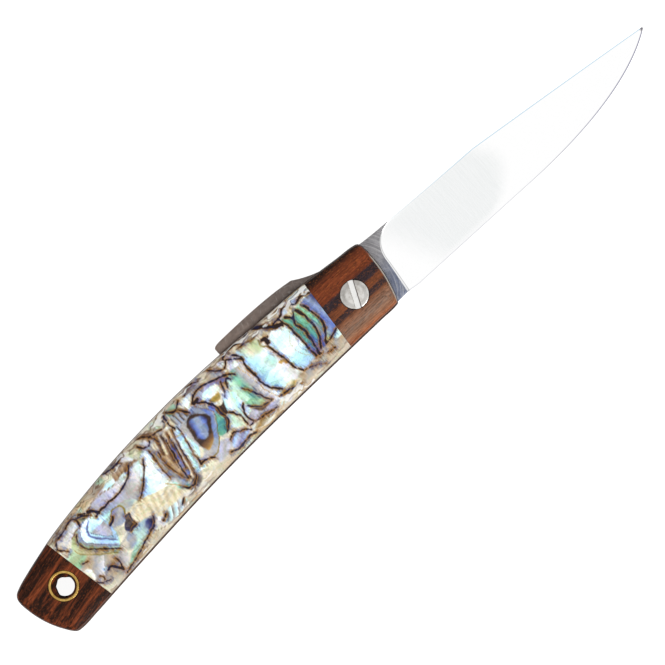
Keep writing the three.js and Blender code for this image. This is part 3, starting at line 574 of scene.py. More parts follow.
SEAMS = (
    Seam("-14.5 3.9, -16 2.6, -16.5 1, -16.2 -0.8, -15 -2.4", 0.05, Tone.TAN),
    Seam("-14.6 1.6, -15.4 0.5, -15.2 -1, -14.6 -2.8", 0.05, Tone.SLATE),
    Seam("-27.4 6, -26.8 3, -26.6 0, -26 -3, -24.8 -5", 0.07, Tone.GOLD),
    Seam("-20.6 7, -20.7 5.2, -20.2 5, -19.9 4", 0.16, Tone.OLIVE),
    Seam("-20.5 0.6, -19.6 0.5, -19.4 -0.2", 0.3, Tone.GOLD),
    Seam("-69.6 6.5, -67 7.1, -64 6.8, -61.8 6.4", 0.08, Tone.BROWN),
    Seam("-68.4 1.5, -67.4 2, -66.4 2.8, -65 3, -64.1 2.1, -64.6 0.7", 0.16, Tone.OLIVE),
    Seam("-54.5 -0.6, -53.6 -1.7, -52.2 -3.4, -51.4 -5", 0.12, Tone.GOLD),
    Seam("-77.3 2.4, -76.6 0.7, -74.6 -1.2, -71.2 -3.9", 0.1, Tone.OLIVE),
    Seam("-51.6 2, -51.3 -0.6, -50.4 -3", 0.09, Tone.GOLD),
    Seam("-62.8 -5.9, -60.8 -6.9, -57 -7.2, -50 -6.7, -46.4 -6.7", 0.1, Tone.BROWN),
    Seam("-40 -6.9, -34 -6.2, -30 -6.9, -26 -6.9", 0.1, Tone.GOLD),
    Seam("-16.6 -6.5, -12 -6.3, -7.4 -5.7", 0.1, Tone.BROWN),
    Seam("-30 -5.5, -26.4 -6.3, -24.4 -4.8, -21.6 -5.2", 0.1, Tone.GOLD),
    Seam("-14.6 9, -12 8.9, -9 9, -6 8.5", 0.1, Tone.GOLD),
    Seam("-9.2 6.1, -8.7 4, -8.5 2.5, -8.5 0.5, -9.5 -1.2, -11.1 -3.1", 0.16),
    Seam("-11 6.6, -10.4 4.6, -10.4 1.5, -10.7 -0.5, -12.5 -3", 0.2),
    Seam("-13.4 6.6, -12.4 5.3, -12.8 4, -12.4 2, -12.6 0.5, -12.9 -1.4, -13.6 -3.8", 0.19),
    Seam("-14.7 7, -14.2 5, -14.3 0, -14.3 -3.6", 0.16),
    Seam("-13.4 6.5, -12.2 5.5, -11.4 6.4", 0.12),
    Seam("-11 -3.1, -9.4 -2.9, -7.4 -2.3", 0.1),
    Seam("-18.6 6.3, -19.8 5.4, -19.8 4, -19.5 1.6, -19.1 -0.6, -19 -2.4, -18.2 -3.7", 0.13),
    Seam("-20.1 6.5, -19.3 6.3, -19 5.6", 0.24),
    Seam("-19.5 6.1, -19.3 5.2", 0.34),
    Seam("-26.4 8.6, -25.5 7, -26.1 5, -25.9 2.5, -26 0.5, -25.4 -1.6, -23.9 -3.5", 0.15),
    Seam("-28.4 9, -26.9 7.8, -25.6 6.6", 0.12),
    Seam("-25 8.6, -23 8.5, -21.6 8.1, -20.2 8.2", 0.09),
    Seam("-29.8 2.4, -28.5 0, -27.6 -2.5, -26.8 -3.6", 0.12),
    Seam("-31.4 -0.9, -30 -2.6, -27.2 -3.7", 0.13),
    Seam("-32 6.4, -32.7 4.4, -33.4 3.5", 0.1),
    Seam("-34.9 0.6, -34 -1, -33.9 -3.7", 0.14),
    Seam("-31.8 -0.1, -32.8 -1.6, -32.7 -3.9", 0.15),
    Seam("-39.2 6.4, -38.8 5.4, -37.8 4.5, -37.3 3, -37.9 1.3, -39.2 -0.2, -40.1 -1.6", 0.07, Tone.BROWN),
    Seam("-40.1 -1.6, -41.2 -2.8, -42.5 -3.6, -44.6 -3.3, -46.2 -2.5", 0.13, Tone.OLIVE),
    Seam("-38.4 6.6, -37 5.4, -36.2 3.6, -36.2 1.3, -36.1 0, -37.4 -1.6", 0.14),
    Seam("-39.3 7.1, -38 8.2, -35.5 8.4, -32.3 7.3, -30 6.4, -28.9 5.4", 0.17),
    Seam("-39 6.9, -37.9 7", 0.36),
    Seam("-42.4 8.4, -41.4 7, -40.8 6.2", 0.14),
    Seam("-44.4 9.6, -42.6 8.6, -41 9.6", 0.14),
    Seam("-39.2 9.4, -37.8 10.2, -36.2 10.1, -35 9.4", 0.1),
    Seam("-32.2 9.8, -31.2 8.6, -29.6 7.8, -28.4 8.6", 0.12),
    Seam("-31.4 5.4, -30.6 5.9, -30 5.3", 0.16),
    Seam("-31.7 4.6, -31.4 5", 0.2),
    Seam("-28.6 9.4, -26 10, -23.4 9.5, -21 9.8", 0.16),
    Seam("-19.8 9.4, -18.2 8.6, -16.6 6.9, -14.8 6", 0.34),
    Seam("-16 7.3, -14 7.4, -12.6 8.2, -11.4 7.9", 0.14),
    Seam("-10.9 8.2, -10.1 7.1, -8.6 7.4, -6.4 6.8", 0.13),
    Seam("-13.4 -3.6, -11.8 -4.6, -10.4 -5", 0.09),
    Seam("-17.8 -3.9, -15.8 -4.7, -14 -5.8", 0.08),
    Seam("-25.2 -4.2, -22.4 -4.9, -20.4 -5.6", 0.12),
    Seam("-40.3 -5.5, -38.6 -6, -36.2 -5.8, -33.6 -6", 0.16),
    Seam("-38.6 -3.6, -37.2 -2.9, -36.4 -3.5, -35 -4.2, -34.4 -5", 0.12),
    Seam("-33.8 -4.2, -30.6 -4.7, -27 -5.5", 0.1),
    Seam("-46.2 -2.4, -46.4 -3, -44.6 -3.1, -43.4 -4", 0.13),
    Seam("-45.8 6.3, -46.9 3, -47.9 -1, -48.3 -3.6", 0.08),
    Seam("-44.6 6, -45.2 3, -46 -0.4, -46.3 -2.6", 0.07),
    Seam("-48.2 5.6, -48.9 3, -49.8 -0.4, -50.3 -3", 0.13),
    Seam("-47.2 5.8, -47.9 2.8, -49.3 -1.4", 0.07),
    Seam("-51 5, -51.5 2.2, -51.2 -0.6, -50.4 -3.2", 0.08),
    Seam("-52.1 6.4, -52.8 3, -52.9 -0.6", 0.07),
    Seam("-52.4 -3.6, -51.6 -4.6, -50.6 -4.9, -48.8 -3.9", 0.13),
    Seam("-50.6 8.4, -49.8 8.3, -48 8, -46.6 7.9, -45.9 8.9", 0.12),
    Seam("-45.2 9.4, -45.6 7.8, -45.2 6", 0.15),
    Seam("-53.4 8.6, -52.6 7.6, -51.6 7.2, -50.8 7.8", 0.12),
    Seam("-52.2 9.8, -50.4 8.6, -49.6 6.4", 0.1),
    Seam("-54.2 6, -56.2 3.8, -58 2.2, -60.2 0.7", 0.12),
    Seam("-69.2 4.4, -66.5 4.7, -63 4.6, -60 5.1, -58.2 6.3, -57.4 7.2", 0.15),
    Seam("-70 6.2, -69 5.6, -68.4 4.5", 0.25),
    Seam("-62.6 9.7, -60.2 9.1, -57.6 9.4", 0.13),
    Seam("-80 5, -78.6 6.3, -76.6 6.7, -75 7.2, -73.4 7.4, -72.7 6.4, -73.1 5.2", 0.13),
    Seam("-76 4.5, -75 4.9, -73.2 5", 0.14, Tone.BROWN),
    Seam("-79.7 4.9, -78.9 4.1, -78.3 3", 0.11),
    Seam("-72.6 7, -71 6.2, -70 5.4", 0.14),
    Seam("-71.8 7.2, -70.4 6.4", 0.1),
    Seam("-74.8 4.5, -75.7 2.7, -75.1 1, -73.2 -0.9, -70.3 -3.7", 0.11),
    Seam("-73.7 4.3, -74.6 2.8, -74.1 1.4, -72.4 -0.5, -69.8 -3.2", 0.06, Tone.NAVY),
    Seam("-71.6 4.5, -72.9 2.8, -72.4 1.4, -70.8 -0.5, -69.4 -2", 0.07, Tone.NAVY),
    Seam("-72.5 2.8, -71.3 1, -69.5 -1", 0.07, Tone.NAVY),
    Seam("-68.6 1.1, -67.6 1.4, -66.8 2", 0.17),
    Seam("-64.9 0.1, -63.9 0.1, -64.4 -1.2, -64.4 -2.5, -66.2 -2.6", 0.12),
    Seam("-60.9 -3.6, -61.6 -4.9, -63.2 -5.5, -65.6 -6.2, -68.6 -7.2, -72.6 -8.1", 0.13),
    Seam("-75 -5.1, -74 -5.1, -73.3 -6, -72.8 -7.2", 0.24),
    Seam("-72.2 -4.4, -72.3 -6, -72.8 -7.4", 0.11),
    Seam("-78 -0.6, -77 -1", 0.12),
    Seam("-78.4 -5.4, -77.4 -6.4, -76 -6.8", 0.1),
    Seam("-77.2 -4.8, -76.4 -5.6, -76.8 -6", 0.1),
    Seam("-60 -5.8, -58.8 -5.2", 0.13),
    Seam("-55 -6.2, -53.6 -5.2", 0.16),
)


def drawn(text: str) -> Points:
    """Reads points of x and y, in millimetres, from a text with a comma after each point."""
    return np.array([point.split() for point in text.split(",")], float)


def signed_gap(places: Points, loop: Points) -> Points:
    """Measures how far places lie from a closed outline: negative inside it, positive outside."""
    after = np.roll(loop, -1, axis=0)
    gap = line_gap(places, loop, after)
    x, y = places[:, None, 0], places[:, None, 1]
    spans = (loop[:, 1] > y) != (after[:, 1] > y)
    rise = np.where(after[:, 1] == loop[:, 1], 1, after[:, 1] - loop[:, 1])
    crossing = loop[:, 0] + (y - loop[:, 1]) / rise * (after[:, 0] - loop[:, 0])
    inside = (spans & (x < crossing)).sum(axis=1) % 2 == 1
    return np.where(inside, -gap, gap)


def line_gap(places: Points, starts: Points, ends: Points) -> Points:
    """Measures how far places lie from the nearest of several straight stretches."""
    way = ends - starts
    offset = places[:, None] - starts[None]
    share = np.clip((offset * way).sum(axis=2) / (way**2).sum(axis=1), 0, 1)
    return np.linalg.norm(offset - share[..., None] * way, axis=2).min(axis=1)


def eased(value: Points) -> Points:
    """Eases values from 0 to 1, and holds them there outside that range."""
    held = np.clip(value, 0, 1)
    return held * held * (3 - 2 * held)


def linear(tones: Sequence[float] | Points) -> Points:
    """Turns sRGB colours from 0 to 255 into linear ones from 0 to 1."""
    shares = np.asarray(tones) / 255
    return np.where(shares <= 0.04045, shares / 12.92, ((shares + 0.055) / 1.055) ** 2.4)


@dataclass
class ShellPainting:
    """Lays the flakes and seams of shell over a panel's vertices as attributes."""

    sharp_turn: float = 80.0
    spacing: float = 0.4
    wavers: tuple[Pair, ...] = ((0.22, 0.9), (0.09, 2.6))  # how far, and how finely
    seed: int = 7
    margin: float = 1.0
    seam_soft: float = 0.16
    far: float = 1.5
    rear_shift: float = -86.5

    def paint(self, piece: bpy.types.Object, side: Side) -> None:
        """Writes each vertex's tone, and its distance from the nearest dark seam.

        Args:
            piece: The shell panel.
            side: Its side of the handle. The rear panel is laid the other way round.
        """
        data = piece.data
        places = np.empty(len(data.vertices) * 3, np.float32)
        data.vertices.foreach_get("co", places)
        places = places.reshape(-1, 3)[:, :2].astype(float) / MM
        if side is Side.REAR:
            places[:, 0] = self.rear_shift - places[:, 0]
        places = self.wavered(places)
        tones = np.tile(np.array(Tone.CREAM.value, float), (len(places), 1))
        for flake in FLAKES:
            self.lay_flake(flake, places, tones)
        gaps = np.full(len(places), self.far)
        for seam in SEAMS:
            self.lay_seam(seam, places, tones, gaps)
        colors = np.column_stack([linear(tones), np.ones(len(tones))]).astype(np.float32)
        data.attributes.new("shell_tone", "FLOAT_COLOR", "POINT").data.foreach_set("color", colors.ravel())
        data.attributes.new("shell_seam", "FLOAT", "POINT").data.foreach_set("value", gaps.astype(np.float32))

    def wavered(self, places: Points) -> Points:
        """Moves places a little to and fro, so that no drawn line stays even."""
        noise.seed_set(self.seed)
        moved = places.copy()
        for reach, scale in self.wavers:
            shifts = [noise.noise_vector(Vector((x * scale, y * scale, 0))).xy for x, y in places]
            moved += reach * np.array(shifts)
        return moved

    def near(self, places: Points, line: Points, margin: float) -> Points:
        """Gives the numbers of the places that lie within a margin of a line's box."""
        inside = (places > line.min(axis=0) - margin) & (places < line.max(axis=0) + margin)
        return np.flatnonzero(inside.all(axis=1))

    def lay_flake(self, flake: Flake, places: Points, tones: Points) -> None:
        """Paints a flake over the tones below it."""
        rim = drawn(flake.rim)
        near = self.near(places, rim, self.margin)
        if not len(near):
            return
        loop = smooth_loop(rim, even_steps(rim, self.spacing), self.sharp_turn)
        spot = places[near]
        cover = eased(0.5 - signed_gap(spot, loop) / (2 * flake.soft))[:, None]
        way = np.array([math.cos(math.radians(flake.heading)), math.sin(math.radians(flake.heading))])
        reach = loop @ way
        share = np.clip((spot @ way - reach.min()) / np.ptp(reach), 0, 0.999) * flake.ribs % 1
        stops = np.array([Tone[name].value for name in flake.tones.split()], float)
        ladder = np.linspace(0, 1, len(stops))
        own = np.stack([np.interp(share, ladder, stops[:, k]) for k in range(3)], axis=1)
        tones[near] = tones[near] * (1 - cover) + own * cover

    def lay_seam(self, seam: Seam, places: Points, tones: Points, gaps: Points) -> None:
        """Draws a toned line over the tones, or notes the distance from a dark one."""
        path = drawn(seam.path)
        path = smooth_open(path, self.spacing, self.sharp_turn) if len(path) > 2 else path
        near = self.near(places, path, self.far)
        if not len(near):
            return
        gap = line_gap(places[near], path[:-1], path[1:]) - seam.half_width
        if seam.tone is None:
            gaps[near] = np.minimum(gaps[near], gap)
        else:
            cover = eased(0.5 - gap / self.seam_soft)[:, None]
            tones[near] = tones[near] * (1 - cover) + np.array(seam.tone.value) * cover


class Wire:
    """A number, colour or vector that flows through a node tree, to be reckoned with as if it were plain."""

    def __init__(self, graph: "Graph", socket: bpy.types.NodeSocket) -> None:
        """Keeps the graph, and the socket that the value comes from."""
        self.graph = graph
        self.socket = socket

    def __add__(self, other: "Value") -> "Wire":
        """Adds a number."""
        return self.graph.math("ADD", self, other)

    def __sub__(self, other: "Value") -> "Wire":
        """Takes a number away."""
        return self.graph.math("SUBTRACT", self, other)

    def __rsub__(self, other: float) -> "Wire":
        """Takes this number away from a plain one."""
        return self.graph.math("SUBTRACT", other, self)

    def __mul__(self, other: "Value") -> "Wire":
        """Multiplies by a number."""
        return self.graph.math("MULTIPLY", self, other)

    def __truediv__(self, other: "Value") -> "Wire":
        """Divides by a number."""
        return self.graph.math("DIVIDE", self, other)

    def __abs__(self) -> "Wire":
        """Drops the sign."""
        return self.graph.math("ABSOLUTE", self)

    def most(self, other: "Value") -> "Wire":
        """Gives the larger of two numbers."""
        return self.graph.math("MAXIMUM", self, other)

    def remap(self, low: float, high: float, start: float = 0, end: float = 1) -> "Wire":
        """Eases a number that lies between two bounds onto another range."""
        inputs = {0: self, 1: low, 2: high, 3: start, 4: end}
        return self.graph.add("MapRange", inputs, interpolation_type="SMOOTHSTEP")

    def shade(self, amount: "Wire") -> "Wire":
        """Multiplies this colour by a number."""
        grey = self.graph.add("CombineXYZ", {0: amount, 1: amount, 2: amount})
        return self.graph.mix(1.0, self, grey, "MULTIPLY")

    def axes(self) -> list["Wire"]:
        """Splits this vector into its x, y and z."""
        return list(self.graph.outputs("SeparateXYZ", {0: self}).values())

    def vector(self, operation: str, other: "Value") -> "Wire":
        """Reckons with this vector and another one."""
        return self.graph.add("VectorMath", {0: self, 1: other}, operation=operation)

    def scaled(self, factor: float) -> "Wire":
        """Multiplies this vector by a number."""
        return self.graph.add("VectorMath", {0: self, "Scale": factor}, operation="SCALE")

    def turned(self, angle: "Value") -> "Wire":
        """Turns this vector about the upright axis by an angle in radians."""
        return self.graph.add("VectorRotate", {"Vector": self, "Angle": angle}, rotation_type="Z_AXIS")

    def noise(self, scale: Triple, detail: float = 3, roughness: float = 0.55, warp: float = 0) -> "Wire":
        """Gives the value here of a noise that has its own scale along each axis."""
        inputs = {"Scale": 1, "Detail": detail, "Roughness": roughness, "Distortion": warp}
        return self.graph.add("TexNoise", {"Vector": self.vector("MULTIPLY", scale), **inputs})

    def bump(self, depth: float) -> "Wire":
        """Turns this height, from 0 to 1, into a normal for a relief of a depth in millimetres."""
        return self.graph.add("Bump", {"Height": self, "Strength": 1.0, "Distance": depth * MM})


Value = Wire | float | Sequence[float]
Inputs = dict[int | str, Value]
Look = tuple[Wire, Wire, Wire]
Stops = Sequence[tuple[float, Triple]]


class Graph:
    """Adds nodes to a node tree and wires them."""

    def __init__(self, tree: Tree) -> None:
        """Keeps the tree."""
        self.tree = tree

    def feed(self, node: bpy.types.Node, inputs: Inputs) -> None:
        """Links wires to a node's inputs and sets plain values on them."""
        for name, value in inputs.items():
            if isinstance(value, Wire):
                self.tree.links.new(value.socket, node.inputs[name])
            else:
                node.inputs[name].default_value = value

    def node(self, kind: str, inputs: Inputs | None = None, **settings: object) -> bpy.types.Node:
        """Adds a node.

        Args:
            kind: The node's type, without its ShaderNode prefix.
            inputs: What feeds its inputs.
            settings: The node's own properties.

        Returns:
            The node.
        """
        node = self.tree.nodes.new(f"ShaderNode{kind}")
        for name, value in settings.items():
            setattr(node, name, value)
        self.feed(node, inputs or {})
        return node

    def add(self, kind: str, inputs: Inputs | None = None, **settings: object) -> Wire:
        """Adds a node and gives its first output."""
        return Wire(self, self.node(kind, inputs, **settings).outputs[0])

    def outputs(self, kind: str, inputs: Inputs | None = None, **settings: object) -> dict[str, Wire]:
        """Adds a node and gives all its outputs by name."""
        return {socket.name: Wire(self, socket) for socket in self.node(kind, inputs, **settings).outputs}

    def group(self, tree: Tree, **inputs: float) -> dict[str, Wire]:
        """Adds a shared effect with its input numbers and gives its outputs by name."""
        return self.outputs("Group", inputs, node_tree=tree)

    def math(self, operation: str, *values: Value) -> Wire:
        """Adds a sum of numbers and gives its result."""
        return self.add("Math", dict(enumerate(values)), operation=operation)

    def mix(self, share: Value, low: Value, high: Value, blend: str = "MIX") -> Wire:
        """Mixes two colours, of which plain ones are sRGB from 0 to 255, and gives the result."""
        low, high = (tone if isinstance(tone, Wire) else (*linear(tone), 1.0) for tone in (low, high))
        mixed = self.node("Mix", {0: share, 6: low, 7: high}, data_type="RGBA", blend_type=blend)
        return Wire(self, mixed.outputs[2])

    def ramp(self, value: Wire, stops: Stops) -> Wire:
        """Turns a value from 0 to 1 into a colour by stops of place and sRGB colour."""
        node = self.node("ValToRGB", {0: value})
        elements = node.color_ramp.elements
        while len(elements) < len(stops):
            elements.new(0.5)
        for element, (place, tone) in zip(elements, stops):
            element.position = place
            element.color = (*linear(tone), 1.0)
        return Wire(self, node.outputs["Color"])

    def length(self, x: Wire, y: Wire) -> Wire:
        """Gives the distance of a place from the upright axis."""
        return self.math("SQRT", x * x + y * y)

    def place(self) -> Wire:
        """Gives the place on the object in millimetres."""
        return self.outputs("TexCoord")["Object"].scaled(1 / MM)

    def attribute(self, name: str, output: str = "Fac") -> Wire:
        """Reads one of the piece's own attributes."""
        return self.outputs("Attribute", attribute_name=name)[output]


Work = Callable[[Graph, dict[str, Wire]], dict[str, Wire]]


def effect(name: str, inputs: dict[str, float], work: Work) -> Tree:
    """Makes a shader node group.

    Args:
        name: The group's name.
        inputs: Its input numbers with their defaults.
        work: Builds its nodes on those inputs and gives its output numbers by name.

    Returns:
        The group.
    """
    tree = bpy.data.node_groups.new(name, "ShaderNodeTree")
    for socket, default in inputs.items():
        number = tree.interface.new_socket(socket, in_out="INPUT", socket_type="NodeSocketFloat")
        number.default_value = default
    graph = Graph(tree)
    source = tree.nodes.new("NodeGroupInput")
    made = work(graph, {socket.name: Wire(graph, socket) for socket in source.outputs})
    for socket in made:
        tree.interface.new_socket(socket, in_out="OUTPUT", socket_type="NodeSocketFloat")
    graph.feed(tree.nodes.new("NodeGroupOutput"), made)
    return tree


def grain(graph: Graph, given: dict[str, Wire]) -> dict[str, Wire]:
    """Builds streaked hardwood, whose grain runs along the handle."""
    place = graph.place().turned(given["Tilt"])
    x, y, z = place.axes()
    across = y + (place.noise((0.06, 0.3, 0.3)) - 0.5) * given["Waver"]
    flow = graph.add("CombineXYZ", {0: x, 1: across, 2: z})
    return {
        "Across": across,
        "Fibre": flow.noise((0.17, 3.0, 3.0), 5, 0.62),
        "Threads": flow.noise((0.5, 4.6, 4.6), 2, 0.6),
        "Pores": flow.noise((0.8, 8.5, 8.5), 2, 0.5).remap(0.58, 0.68),
        "Flecks": flow.noise((1.5, 6.0, 6.0), 4, 0.7, 0.6).remap(0.56, 0.64),
    }


def scratches(graph: Graph, given: dict[str, Wire]) -> dict[str, Wire]:
    """Builds rubbed metal: fine scratches one way, stray ones, and faint blotches."""
    place = graph.place()
    x, y, z = place.turned(given["Turn"]).axes()
    flow = graph.add("CombineXYZ", {0: x * 0.22, 1: y * given["Fineness"], 2: z})
    strays = [
        place.turned(angle).vector("ADD", (shift, shift, 0)).noise((0.35, 7, 1), 1, 0.4).remap(0.68, 0.74)
        for angle, shift in ((0.5, 3.0), (-0.8, 17.0), (1.9, 31.0))
    ]
    return {
        "Lines": flow.noise((1, 1, 1), 3, 0.6),
        "Strays": strays[0].most(strays[1]).most(strays[2]),
        "Blotches": place.noise((0.9, 0.9, 0.9), 5, 0.65),
    }


@dataclass(frozen=True)
class Finish:
    """What every finish has: its name and the plain numbers of its shader."""

    name: str
    roughness: float = 0.4
    metallic: float = 0.0
    specular: float = 0.5

    def build(self, shared: Tree | None = None) -> Material:
        """Makes the material.

        Args:
            shared: The shared effect that its look is built on, if it has one.

        Returns:
            The material.
        """
        material = bpy.data.materials.new(self.name)
        material.use_nodes = True
        graph = Graph(material.node_tree)
        shader = material.node_tree.nodes["Principled BSDF"]
        plain = {"Roughness": self.roughness, "Metallic": self.metallic, "Specular IOR Level": self.specular}
        graph.feed(shader, plain)
        color, rough, normal = self.look(graph, shared)
        graph.feed(shader, {"Base Color": color, "Roughness": rough, "Normal": normal})
        return material

    def look(self, graph: Graph, shared: Tree | None) -> Look:
        """Gives the finish's colour, roughness and normal."""
        raise NotImplementedError


@dataclass(frozen=True)
class WoodFinish(Finish):
    """Polished hardwood, coloured by stripes whose places are millimetres across the grain."""

    stripes: Stops = ()
    tilt: float = 0.0
    waver: float = 1.2
    spread: float = 2.0
    pore_tone: Triple = (34, 22, 18)
    pore_depth: float = 0.7
    fleck_tone: Triple = (184, 104, 48)
    flecks: float = 0.5
    contrast: float = 0.35
    thread_range: Pair = (0.8, 1.22)
    # The tone of a painted highlight along the front end's rounded edge.
    front_edge_highlight: Triple | None = None
    relief: float = 0.02

    def stripe_place(self, graph: Graph, wood: dict[str, Wire]) -> Wire:
        """Says where a point lies among the stripes: here, straight across the grain."""
        return wood["Across"]

    def look(self, graph: Graph, shared: Tree | None) -> Look:
        """Lays flecks, pores and a painted highlight on the front end's edge over the stripes."""
        wood = graph.group(shared, Tilt=math.radians(self.tilt), Waver=self.waver)
        fibre, pores = wood["Fibre"], wood["Pores"]
        low, high = self.stripes[0][0], self.stripes[-1][0]
        place = self.stripe_place(graph, wood) + (fibre - 0.5) * self.spread
        stops = [((stop - low) / (high - low), tone) for stop, tone in self.stripes]
        color = graph.ramp((place - low) / (high - low), stops)
        color = color.shade(fibre.remap(0.3, 0.7, 1 - self.contrast, 1 + self.contrast))
        color = color.shade(wood["Threads"].remap(0.32, 0.68, *self.thread_range))
        color = graph.mix(wood["Flecks"] * self.flecks, color, self.fleck_tone)
        color = graph.mix(pores * self.pore_depth, color, self.pore_tone)
        # Painted highlight: a pale line where the front end's rounded edge faces the blade.
        if self.front_edge_highlight:
            lean, _, _ = graph.outputs("NewGeometry")["True Normal"].axes()
            _, y, _ = graph.place().axes()
            color = graph.mix(lean.remap(0.72, 0.94, 0, 0.8) * y.remap(4.2, 2.6), color, self.front_edge_highlight)
        rough = pores.remap(0, 1, self.roughness, self.roughness + 0.25)
        return color, rough, (fibre * 0.4 - pores * 0.6).bump(self.relief)


@dataclass(frozen=True)
class StreakFinish(WoodFinish):
    """Hardwood whose dark streaks follow a slow noise, so that its stripes' places run from 0 to 1."""

    streak_scale: Triple = (0.07, 0.62, 0.62)

    def stripe_place(self, graph: Graph, wood: dict[str, Wire]) -> Wire:
        """Says where a point lies among the stripes: here, by a noise drawn out along the grain."""
        return graph.place().turned(math.radians(self.tilt)).noise(self.streak_scale, 4, 0.62, 0.3)


@dataclass(frozen=True)
class TangFinish(Finish):
    """The rubbed steel of the ricasso, tang and lever."""

    metallic: float = 1.0
    lever: Triple = (137, 122, 113)
    root: Triple = (114, 104, 99)
    back: Triple = (150, 148, 151)
    front: Triple = (118, 124, 143)
    swirl_tone: Triple = (206, 206, 204)
    swirl_depth: float = 0.22
    stray_depth: float = 0.4
    relief: float = 0.004

    def look(self, graph: Graph, shared: Tree | None) -> Look:
        """Makes the steel greyer and cooler towards the edge, with swirls about the pivot."""
        x, y, _ = graph.place().axes()
        rubbed = graph.group(shared, Turn=0.75, Fineness=7.0)
        lines = rubbed["Lines"]
        ricasso = graph.mix(y.remap(-3.5, 3.5), self.front, self.back)
        lever = graph.mix(x.remap(-26, -5), self.lever, self.root)
        color = graph.mix(x.remap(-2, 5), lever, ricasso)
        ring = graph.add("CombineXYZ", {0: graph.length(x, y) * 6, 1: graph.math("ARCTAN2", y, x)})
        swirl = ring.noise((1, 1.6, 1), 4, 0.65).remap(0.3, 0.7, 0, 2 * self.swirl_depth) - self.swirl_depth
        swirl = swirl * x.remap(-6, 3, 0.25, 1) + 1
        color = color.shade(swirl * rubbed["Blotches"].remap(0.3, 0.7, 0.84, 1.14))
        fine = ring.noise((1.5, 1.1, 1), 3, 0.6).remap(0.54, 0.62) * x.remap(1, 5, 0, 0.6)
        color = graph.mix((rubbed["Strays"] * self.stray_depth).most(fine), color, self.swirl_tone)
        return color, lines.remap(0.3, 0.7, 0.34, 0.5), lines.bump(self.relief)


@dataclass(frozen=True)
class GroundFinish(Finish):
    """The polished ground faces, with a satin patch near the handle and painted reflection lines at the rim:
    bluish along the edge, pale blue along the spine.
    """

    metallic: float = 1.0
    polished: Triple = (255, 255, 255)
    satin: Triple = (238, 240, 240)
    edge_reflection: Triple = (88, 88, 128)
    spine_reflection: Triple = (160, 202, 226)
    tip_tone: Triple = (112, 106, 112)
    wall: Triple = (196, 198, 202)
    unevenness: float = 2.5
    patch_start: Pair = (11.0, 20.0)
    patch_lean: float = 0.45
    patch_end: Pair = (37.0, 43.0)
    patch_bow: float = 0.12
    patch_low: Pair = (-8.8, -6.4)
    edge_reach: Pair = (0.06, 0.34)
    spine_reach: Pair = (0.05, 0.24)
    tip_reach: Pair = (79.2, 79.8)
    relief: float = 0.0015

    def look(self, graph: Graph, shared: Tree | None) -> Look:
        """Lays the satin patch, the rim's painted reflection lines, the tip and the walls over the polish."""
        x, y, _ = graph.place().axes()
        rubbed = graph.group(shared, Turn=math.pi / 2 + 0.06, Fineness=6.0)
        lines = rubbed["Lines"]
        ragged = x + (rubbed["Blotches"] - 0.5) * self.unevenness
        start = (ragged + y * self.patch_lean).remap(*self.patch_start)
        end = (ragged + y * y * self.patch_bow).remap(*self.patch_end, 1, 0)
        patch = start * end * y.remap(*self.patch_low) * lines.remap(0.3, 0.7, 0.7, 1.0)
        color = graph.mix(patch, self.polished, self.satin)
        gap = graph.attribute("rim_gap")
        # Painted reflections: a thin bluish line along the edge and a pale blue one along the spine.
        edge_reflection = gap.remap(*self.edge_reach, 1, 0) * x.remap(34, 78, 0.3, 1)
        spine_reflection = gap.remap(*self.spine_reach, 1, 0) * x.remap(20, 44, 0.4, 0.9)
        low_rim = graph.mix(edge_reflection, color, self.edge_reflection)
        high_rim = graph.mix(spine_reflection, color, self.spine_reflection)
        color = graph.mix(graph.attribute("row_share").remap(0.45, 0.55), low_rim, high_rim)
        color = graph.mix(x.remap(*self.tip_reach, 0, 0.9), color, self.tip_tone)
        lean = graph.outputs("NewGeometry")["True Normal"].axes()[2]
        color = graph.mix(abs(lean).remap(0.2, 0.4, 1, 0), color, self.wall)
        return color, patch.remap(0, 1, 0.06, 0.24), lines.bump(self.relief)


@dataclass(frozen=True)
class MetalFinish(Finish):
    """Turned or plain metal with faint rings about an axis and a few scratches."""

    metallic: float = 1.0
    tone: Triple = (200, 198, 194)
    dull: Triple = (160, 156, 150)
    bright: Triple = (238, 238, 236)
    centre: Pair = (0.0, 0.0)
    ring_pitch: float = 9.0
    ring_share: float = 0.35
    stray_depth: float = 0.3
    relief: float = 0.004

    def marks(self, graph: Graph, place: Wire, color: Wire) -> Wire:
        """Adds the piece's own marks to its colour: here, none."""
        return color

    def look(self, graph: Graph, shared: Tree | None) -> Look:
        """Lets the rings and blotches wear the metal, and lays the scratches and marks over it."""
        place = graph.place().vector("SUBTRACT", (*self.centre, 0))
        x, y, _ = place.axes()
        rings = graph.add("CombineXYZ", {0: graph.length(x, y) * self.ring_pitch}).noise((1, 1, 1), 3, 0.6)
        rubbed = graph.group(shared, Turn=0.4, Fineness=10.0)
        wear = rubbed["Blotches"] * (1 - self.ring_share) + rings * self.ring_share
        color = graph.mix(wear.remap(0.36, 0.62), self.dull, self.tone)
        color = graph.mix(rubbed["Strays"] * self.stray_depth, color, self.bright)
        color = self.marks(graph, place, color)
        rough = wear.remap(0.35, 0.65, self.roughness + 0.1, self.roughness - 0.06)
        return color, rough, rings.bump(self.relief)


